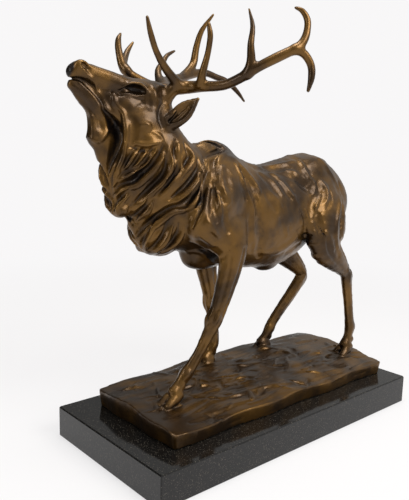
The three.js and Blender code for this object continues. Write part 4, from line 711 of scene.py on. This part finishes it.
def ground(wax, length, width):
    """The rough ground: a slab with a swelling top and loose sides, under long low strokes of the tool."""
    head_end, tail_end = MARGINS[0] - length / 2, length / 2 - MARGINS[1]
    near, far = MARGINS[2] - width / 2, width / 2 - MARGINS[3]

    def top(x, y):
        along = np.clip((x - head_end) / (tail_end - head_end), 0, 1)
        over = np.clip((y - near) / (far - near), 0, 1)
        swell = GROUND_SWELL * np.sin(np.pi * (0.12 + 0.66 * along)) * np.minimum(1, 1.5 * over)
        lumps = np.sin(x * 0.05 + 0.9 * np.sin(y * 0.07)) * np.sin(y * 0.085 + x * 0.021)
        return GROUND_EDGE + swell + 4 * np.sin(np.pi * over) + GROUND_LUMPS * lumps

    win = wax.window((head_end - SLACK, near - SLACK, -SLACK), (tail_end + SLACK, far + SLACK, GROUND_TOP))
    x, y, z = wax.axes(win)
    loose = 1.2 * np.sin(x * 0.06) + 1.2 * np.sin(y * 0.11 + 1)
    flare = UNDERCUT * 0.5 * np.maximum(0, 1 - z / GROUND_EDGE) + loose + 1.5 + CORNER_RADIUS
    out_x = np.abs(x - (head_end + tail_end) / 2) - (tail_end - head_end) / 2 + flare
    out_y = np.abs(y - (near + far) / 2) - (far - near) / 2 + flare
    side = np.hypot(np.maximum(out_x, 0), np.maximum(out_y, 0)) + np.minimum(np.maximum(out_x, out_y), 0)
    wax.merge(win, np.maximum(side - CORNER_RADIUS, np.maximum(z - top(x, y), -4 - z)), 3)
    strokes = []
    for n in range(STROKES):
        u, v, w = [(0.5 + n * k) % 1 for k in STROKE_SPREAD]
        reach = 14 + 20 * w
        k = STROKE_STEPS
        x = head_end + reach + (tail_end - head_end - 2 * reach) * u + k * reach
        y = near + 8 + (far - near - 16) * v + 5 * k * (w - 0.5) + 2 * np.cos(3 * k + n)
        path = np.stack([x, y, top(x, y)], 1)
        rise = (STROKE_DEPTH if n % 2 else -STROKE_DEPTH) * (0.6 + 0.4 * u)
        lay(wax, path, 3 + 3 * v, rise, blend=2.5)
        strokes.append(path)
    random = np.random.default_rng(11)
    for _ in range(CUTS):
        x, y = random.uniform(head_end + 12, tail_end - 12), random.uniform(near + 6, far - 6)
        heading, reach = random.normal(0.2, 0.8), random.uniform(6, 17)
        k = STROKE_STEPS * reach
        x = x + k * np.cos(heading)
        y = np.clip(y + k * np.sin(heading) + random.normal(0, 1, 4), near + 4, far - 4)
        rise = random.choice([-1, 1]) * random.uniform(0.9, 2.2)
        lay(wax, np.stack([x, y, top(x, y)], 1), random.uniform(2, 5), rise, blend=1.0)
    comb(wax, flow_along(strokes), random, strands=160, depth=0.6, width=1.5, stride=4, spread=9)


# Two sizes of finger mark: radians for each millimetre, and height
TOUCHES = ((0.40, 0.22), (0.93, 0.08))


def touch(wax):
    """The uneven touch of the modeller's fingers, all over."""
    x, y, z = wax.axes(wax.window(wax.low, wax.low + wax.step * wax.count))
    for k, depth in TOUCHES:
        waves = np.sin(k * x + 1.3 * np.sin(0.55 * k * y)) * np.sin(1.1 * k * y + 1.1 * np.sin(0.45 * k * z))
        wax.field += depth * waves * np.sin(0.95 * k * z + 1.2 * np.sin(0.5 * k * x))


def figure(wax):
    torso(wax)
    neck(wax)
    for rows, hoof in LEGS.values():
        leg(wax, rows, hoof)
    head(wax)
    flanks(wax)
    for name, (rows, _) in LEGS.items():
        sinews(wax, rows, HIND_STROKES if "hind" in name else FORE_STROKES)
    touch(wax)
    face(wax)
    mane(wax)
    for branch in NEAR_ANTLER + FAR_ANTLER:
        head_limb(wax, branch, blend=3.5)


def cut_flat(wax, seat):
    """Cuts the wax away below the height where it sits on the plinth."""
    height = wax.low[2] + wax.step * np.arange(wax.count[2])
    wax.field = np.maximum(wax.field, (seat - height).astype(np.float32))


# Skin and mesh

def skin(wax):
    """Corners and four-sided faces where the wax begins, one corner in each grid cell that it crosses."""
    inside = wax.field < 0
    n = np.array(inside.shape)
    full = np.zeros(n - 1, np.uint8)
    for i, j, k in np.ndindex(2, 2, 2):
        full += inside[i:n[0] - 1 + i, j:n[1] - 1 + j, k:n[2] - 1 + k]
    crossed = (full > 0) & (full < 8)
    cells = np.argwhere(crossed)
    index = np.full(crossed.shape, -1, np.int32)
    index[crossed] = np.arange(len(cells))
    total = np.zeros((len(cells), 3), np.float32)
    found = np.zeros(len(cells), np.float32)
    for axis in range(3):
        others = [i for i in range(3) if i != axis]
        for p, q in np.ndindex(2, 2):
            start = np.zeros(3, int)
            start[others] = p, q
            end = start.copy()
            end[axis] = 1
            a = wax.field[tuple((cells + start).T)]
            b = wax.field[tuple((cells + end).T)]
            meets = (a < 0) != (b < 0)
            place = np.tile(start.astype(np.float32), (len(cells), 1))
            place[:, axis] = np.where(meets, a / np.where(meets, a - b, 1), 0)
            total += place * meets[:, None]
            found += meets
    corners = (cells + total / found[:, None]) * wax.step + wax.low
    faces = []
    for axis in range(3):
        second, third = (axis + 1) % 3, (axis + 2) % 3
        before, after = [slice(None)] * 3, [slice(None)] * 3
        before[axis], after[axis] = slice(0, -1), slice(1, None)
        a, b = inside[tuple(before)], inside[tuple(after)]
        for mask, order in ((a & ~b, 1), (~a & b, -1)):
            edge = np.argwhere(mask)
            edge = edge[(edge[:, second] > 0) & (edge[:, third] > 0)]
            edge = edge[(edge[:, second] < n[second] - 1) & (edge[:, third] < n[third] - 1)]
            ring = []
            for back, side in ((1, 1), (0, 1), (0, 0), (1, 0)):
                cell = edge.copy()
                cell[:, second] -= back
                cell[:, third] -= side
                ring.append(index[tuple(cell.T)])
            faces.append(np.stack(ring[::order], 1))
    return corners, np.vstack(faces)


def mesh_object(name, corners, faces):
    mesh = bpy.data.meshes.new(name)
    mesh.from_pydata(corners.tolist(), [], faces.tolist())
    mesh.update()
    piece = bpy.data.objects.new(name, mesh)
    bpy.context.scene.collection.objects.link(piece)
    return piece


# Heights over which only the antlers are, anywhere and behind the poll, and how much they are eased
OVER_HEAD, OVER_NAPE, BEHIND_POLL = 376, 352, -3
EASE, POLISH_TURNS = 0.5, 5


def on_antlers(points):
    """The places above or behind the head, where only the antlers are."""
    behind = (points - POLL) @ FORWARD < BEHIND_POLL
    return (points[:, 2] > OVER_HEAD) | (behind & (points[:, 2] > OVER_NAPE))


def cast(name, wax, lift):
    """Turns wax into a bronze mesh in metres, thinned evenly to the number of faces allowed."""
    corners, faces = skin(wax)
    rods = np.flatnonzero(on_antlers(corners)).tolist()
    corners[:, 2] += lift
    piece = mesh_object(name, corners * MM, faces)
    ease = piece.modifiers.new("ease", "SMOOTH")
    ease.factor, ease.iterations = EASE, 1
    piece.vertex_groups.new(name="rods").add(rods, 1.0, "REPLACE")
    polish = piece.modifiers.new("polish", "SMOOTH")
    polish.factor, polish.iterations, polish.vertex_group = EASE, POLISH_TURNS, "rods"
    thin = piece.modifiers.new("thin", "DECIMATE")
    thin.ratio = min(1.0, MOST_FACES / (2 * len(faces)))
    seen = piece.evaluated_get(bpy.context.evaluated_depsgraph_get())
    done = bpy.data.meshes.new_from_object(seen)
    piece.modifiers.clear()
    piece.data = done
    done.shade_smooth()
    return piece


# The ways to a cube's faces, edges and corners
ALL_ROUND = [unit(np.array(v) - 1.0) for v in np.ndindex(3, 3, 3) if v != (1, 1, 1)]


def hollows(wax, points, radius):
    """How far the wax stands round a place: above zero on crests, below zero in hollows."""
    return sum(wax.values(points + radius * way) for way in ALL_ROUND) / len(ALL_ROUND) / radius


def sheltered(wax, points):
    """The share of the open space in front of each place that the form closes off."""
    out = wax.outward(points)
    closed, total = np.zeros(len(points)), np.zeros(len(points))
    for way in ALL_ROUND:
        facing = np.maximum(out @ way, 0)
        met = np.zeros(len(points), bool)
        for reach in SHELTER_REACHES:
            met |= wax.values(points + reach * way + out) < 0
        closed += facing * met
        total += facing
    return closed / total


def nose_painted_shade(points):
    """Painted shade and a painted dark reflection on the bare end of the muzzle."""
    away = np.linalg.norm(points - np.array(on_head(NOSE_PAD)), axis=1)
    return NOSE_PAINTED_SHADE * np.clip(2 - 2 * away / NOSE_REACH, 0, 1)


# Finishes

def new_material(name):
    """A material with its node tree and its shader."""
    material = bpy.data.materials.new(name)
    material.use_nodes = True
    return material, material.node_tree, material.node_tree.nodes["Principled BSDF"]


def plug(tree, node, sockets):
    """Gives a node's sockets, by index or name, their values or links."""
    for socket, value in sockets.items():
        if isinstance(value, bpy.types.NodeSocket):
            tree.links.new(value, node.inputs[socket])
        else:
            node.inputs[socket].default_value = value


def add_node(tree, kind, sockets=None, **settings):
    made = tree.nodes.new(kind)
    for name, value in settings.items():
        setattr(made, name, value)
    plug(tree, made, sockets or {})
    return made


def maths(tree, operation, *values):
    return add_node(tree, "ShaderNodeMath", dict(enumerate(values)), operation=operation).outputs[0]


def spread(tree, value, low, high, to_low=0.0, to_high=1.0):
    """The value's way from low to high, clamped, as a mask."""
    sockets = {0: value, 1: low, 2: high, 3: to_low, 4: to_high}
    return add_node(tree, "ShaderNodeMapRange", sockets, interpolation_type="SMOOTHSTEP").outputs[0]


def blend_colours(tree, mask, a, b):
    return add_node(tree, "ShaderNodeMix", {0: mask, 6: a, 7: b}, data_type="RGBA").outputs[2]


def handled_surface():
    """What hands, wax and dust leave on a polished thing: cloudy patches and fine grain."""
    group = bpy.data.node_groups.new("handled surface", "ShaderNodeTree")
    given, out = group.nodes.new("NodeGroupInput").outputs, group.nodes.new("NodeGroupOutput").inputs
    place = add_node(group, "ShaderNodeTexCoord").outputs["Object"]
    for scale, label, detail in (("Patch Scale", "Patches", 4.0), ("Grain Scale", "Grain", 3.0)):
        group.interface.new_socket(scale, in_out="INPUT", socket_type="NodeSocketFloat")
        group.interface.new_socket(label, in_out="OUTPUT", socket_type="NodeSocketFloat")
        sockets = {"Vector": place, "Scale": given[scale], "Detail": detail}
        noise = add_node(group, "ShaderNodeTexNoise", sockets)
        group.links.new(noise.outputs["Fac"], out[label])
    return group


def handled_marks(tree, handled, patch_scale, grain_scale):
    scales = {"Patch Scale": patch_scale, "Grain Scale": grain_scale}
    made = add_node(tree, "ShaderNodeGroup", scales, node_tree=handled)
    return made.outputs["Patches"], made.outputs["Grain"]


def bronze_finish(handled):
    """Brown patina under wax, darkened nearly to black by painted shade and darker patina in hollows and
    where the form shelters it, and worn to gold with a painted highlight on the crests.
    """
    material, tree, shader = new_material("patinated bronze")
    crest, broad, shelter = [
        add_node(tree, "ShaderNodeAttribute", attribute_name=name).outputs["Fac"]
        for name in (CREST, BROAD, SHELTER)
    ]
    patches, grain = handled_marks(tree, handled, *BRONZE_MARKS)
    # Painted highlight: the crests, helped by the patches, turn to worn gold that also stands in for their
    # highlight
    worn_and_highlit = spread(tree, maths(tree, "MULTIPLY_ADD", patches, 0.5, crest), *WORN_AND_HIGHLIT)
    # Painted shade: hollows and sheltered places turn dark, partly darker patina and partly painted shade
    hollow = spread(tree, maths(tree, "MULTIPLY_ADD", broad, 0.8, crest), *HOLLOW_SHADE_AND_PATINA)
    dark = maths(tree, "MAXIMUM", hollow, spread(tree, shelter, *SHELTER_SHADE_AND_PATINA))
    warm = blend_colours(tree, spread(tree, patches, *PATCHES), BROWN, AMBER)
    colour = blend_colours(tree, worn_and_highlit, warm, GOLD_WEAR_AND_HIGHLIGHT)
    grainy = maths(tree, "MULTIPLY_ADD", grain, WAXED_GRAIN, WAXED)
    bump = add_node(tree, "ShaderNodeBump", {"Strength": 0.12, "Distance": 0.0004, "Height": grain})
    plug(tree, shader, {
        # The base colour turns towards umber with the painted shade and darker patina
        "Base Color": blend_colours(tree, dark, colour, UMBER_PATINA_AND_SHADE),
        "Roughness": maths(tree, "MULTIPLY_ADD", dark, DULL, grainy),
        "Normal": bump.outputs["Normal"],
        "Metallic": 0.84,
        "Coat Weight": 0.34,
        "Coat Roughness": 0.24,
    })
    return material


def granite_finish(handled):
    """Polished black granite: near-black crystals with a few paler flecks, and a mirror-like surface."""
    material, tree, shader = new_material("polished black granite")
    place = add_node(tree, "ShaderNodeTexCoord").outputs["Object"]
    patches, grain = handled_marks(tree, handled, *GRANITE_MARKS)
    cells = add_node(tree, "ShaderNodeTexVoronoi", {"Vector": place, "Scale": CRYSTALS}).outputs["Color"]
    lightness = add_node(tree, "ShaderNodeSeparateColor", {0: cells}).outputs[0]
    flecks = maths(tree, "MULTIPLY", spread(tree, lightness, 0.9, 1.0), 0.45)
    dark = blend_colours(tree, spread(tree, grain, 0.4, 0.7), GRANITE_DARK, GRANITE_PALE)
    plug(tree, shader, {
        "Base Color": blend_colours(tree, flecks, dark, FLECK),
        "Roughness": maths(tree, "MULTIPLY_ADD", patches, POLISHED_PATCHES, POLISHED),
        "IOR": 1.42,
    })
    return material


def floor_finish():
    """A white floor that is lit like the room, takes a faint shadow and fades into the room further away."""
    material, tree, shader = new_material("white floor")
    place = add_node(tree, "ShaderNodeTexCoord").outputs["Object"]
    away = add_node(tree, "ShaderNodeVectorMath", {0: place}, operation="LENGTH").outputs["Value"]
    far = spread(tree, away, *FLOOR_FADE, FLOOR_GLOW, 1.0)
    plug(tree, shader, {"Base Color": FLOOR_WHITE, "Roughness": 0.8, "Specular IOR Level": 0.1})
    glow = add_node(tree, "ShaderNodeEmission", {"Color": ROOM_WHITE, "Strength": 1.0})
    mix = add_node(tree, "ShaderNodeMixShader", {0: far, 1: shader.outputs[0], 2: glow.outputs[0]})
    plug(tree, tree.nodes["Material Output"], {"Surface": mix.outputs[0]})
    return material


def dress(piece, material):
    piece.data.materials.clear()
    piece.data.materials.append(material)


# Room, lights and camera

def room():
    """White all round for the camera, but bright on one side and dim on the other for what shines."""
    world = bpy.data.worlds.new("studio")
    bpy.context.scene.world = world
    world.use_nodes = True
    tree = world.node_tree
    tree.nodes.clear()
    way = add_node(tree, "ShaderNodeTexCoord").outputs["Generated"]
    towards = add_node(tree, "ShaderNodeVectorMath", {0: way, 1: BRIGHT_SIDE}, operation="DOT_PRODUCT")
    glow = spread(tree, towards.outputs["Value"], *ROOM_TURN, *ROOM_GLOW)
    seen = add_node(tree, "ShaderNodeBackground", {"Color": ROOM_WHITE, "Strength": 1.0})
    felt = add_node(tree, "ShaderNodeBackground", {"Color": ROOM_LIGHT, "Strength": glow})
    ray = add_node(tree, "ShaderNodeLightPath").outputs["Is Camera Ray"]
    mix = add_node(tree, "ShaderNodeMixShader", {0: ray, 1: felt.outputs[0], 2: seen.outputs[0]})
    add_node(tree, "ShaderNodeOutputWorld", {"Surface": mix.outputs[0]})


def softbox(name, place, aim, size, power, colour):
    data = bpy.data.lights.new(name, "AREA")
    data.shape, data.size, data.size_y = "RECTANGLE", *size
    data.energy, data.color = power, colour
    lamp = bpy.data.objects.new(name, data)
    lamp.location = place
    lamp.rotation_euler = (Vector(aim) - Vector(place)).to_track_quat("-Z", "Y").to_euler()
    bpy.context.scene.collection.objects.link(lamp)


def camera():
    """The photograph's place, angle and angle of view, for a frame 409 wide and 500 high."""
    data = bpy.data.cameras.new("camera")
    data.sensor_width = SENSOR
    data.lens = SENSOR * FOCAL_PIXELS / FRAME_HEIGHT
    data.clip_start = 0.01
    eye = bpy.data.objects.new("camera", data)
    level_part, rise = np.cos(CAMERA_PITCH), np.sin(CAMERA_PITCH)
    ahead = Vector((level_part * np.cos(CAMERA_YAW), level_part * np.sin(CAMERA_YAW), rise))
    level = ahead.cross(Vector((0, 0, 1))).normalized()
    right = Matrix.Rotation(-CAMERA_ROLL, 3, ahead) @ level
    up = right.cross(ahead)
    eye.matrix_world = Matrix((right, up, -ahead)).transposed().to_4x4()
    eye.location = CAMERA_PLACE
    bpy.context.scene.collection.objects.link(eye)
    bpy.context.scene.camera = eye


def make():
    low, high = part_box("granite_plinth")
    length, width = (high.x - low.x) / MM, (high.y - low.y) / MM
    step = WAX_STEP
    wax = Wax(WAX_LOW, WAX_HIGH, step)
    figure(wax)
    ground(wax, length, width)
    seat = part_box("bronze_stag")[0].z / MM - high.z / MM
    cut_flat(wax, seat)
    stag = cast("stag_and_ground", wax, high.z / MM)
    corners = np.empty(len(stag.data.vertices) * 3)
    stag.data.vertices.foreach_get("co", corners)
    corners = corners.reshape(-1, 3) / MM - (0, 0, high.z / MM)
    masks = (
        (CREST, hollows(wax, corners, CREST_REACH)),
        (BROAD, hollows(wax, corners, BROAD_REACH)),
        # The shelter values also carry the painted shade and painted dark reflection on the end of the muzzle
        (SHELTER, np.maximum(sheltered(wax, corners), nose_painted_shade(corners))),
    )
    for name, values in masks:
        mask = stag.data.attributes.new(name, "FLOAT", "POINT")
        mask.data.foreach_set("value", values.astype(np.float32))
    handled = handled_surface()
    dress(stag, bronze_finish(handled))
    dress(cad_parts["granite_plinth"], granite_finish(handled))
    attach(stag, "root")
    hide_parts("bronze_stag")

    square = FLOOR_REACH * np.array([(-1, -1, 0), (1, -1, 0), (1, 1, 0), (-1, 1, 0)])
    floor = mesh_object("floor", square, np.array([(0, 1, 2, 3)]))
    dress(floor, floor_finish())
    room()
    for lamp in LAMPS:
        softbox(*lamp)
    camera()
    bpy.context.scene.view_settings.view_transform = "Standard"


make()
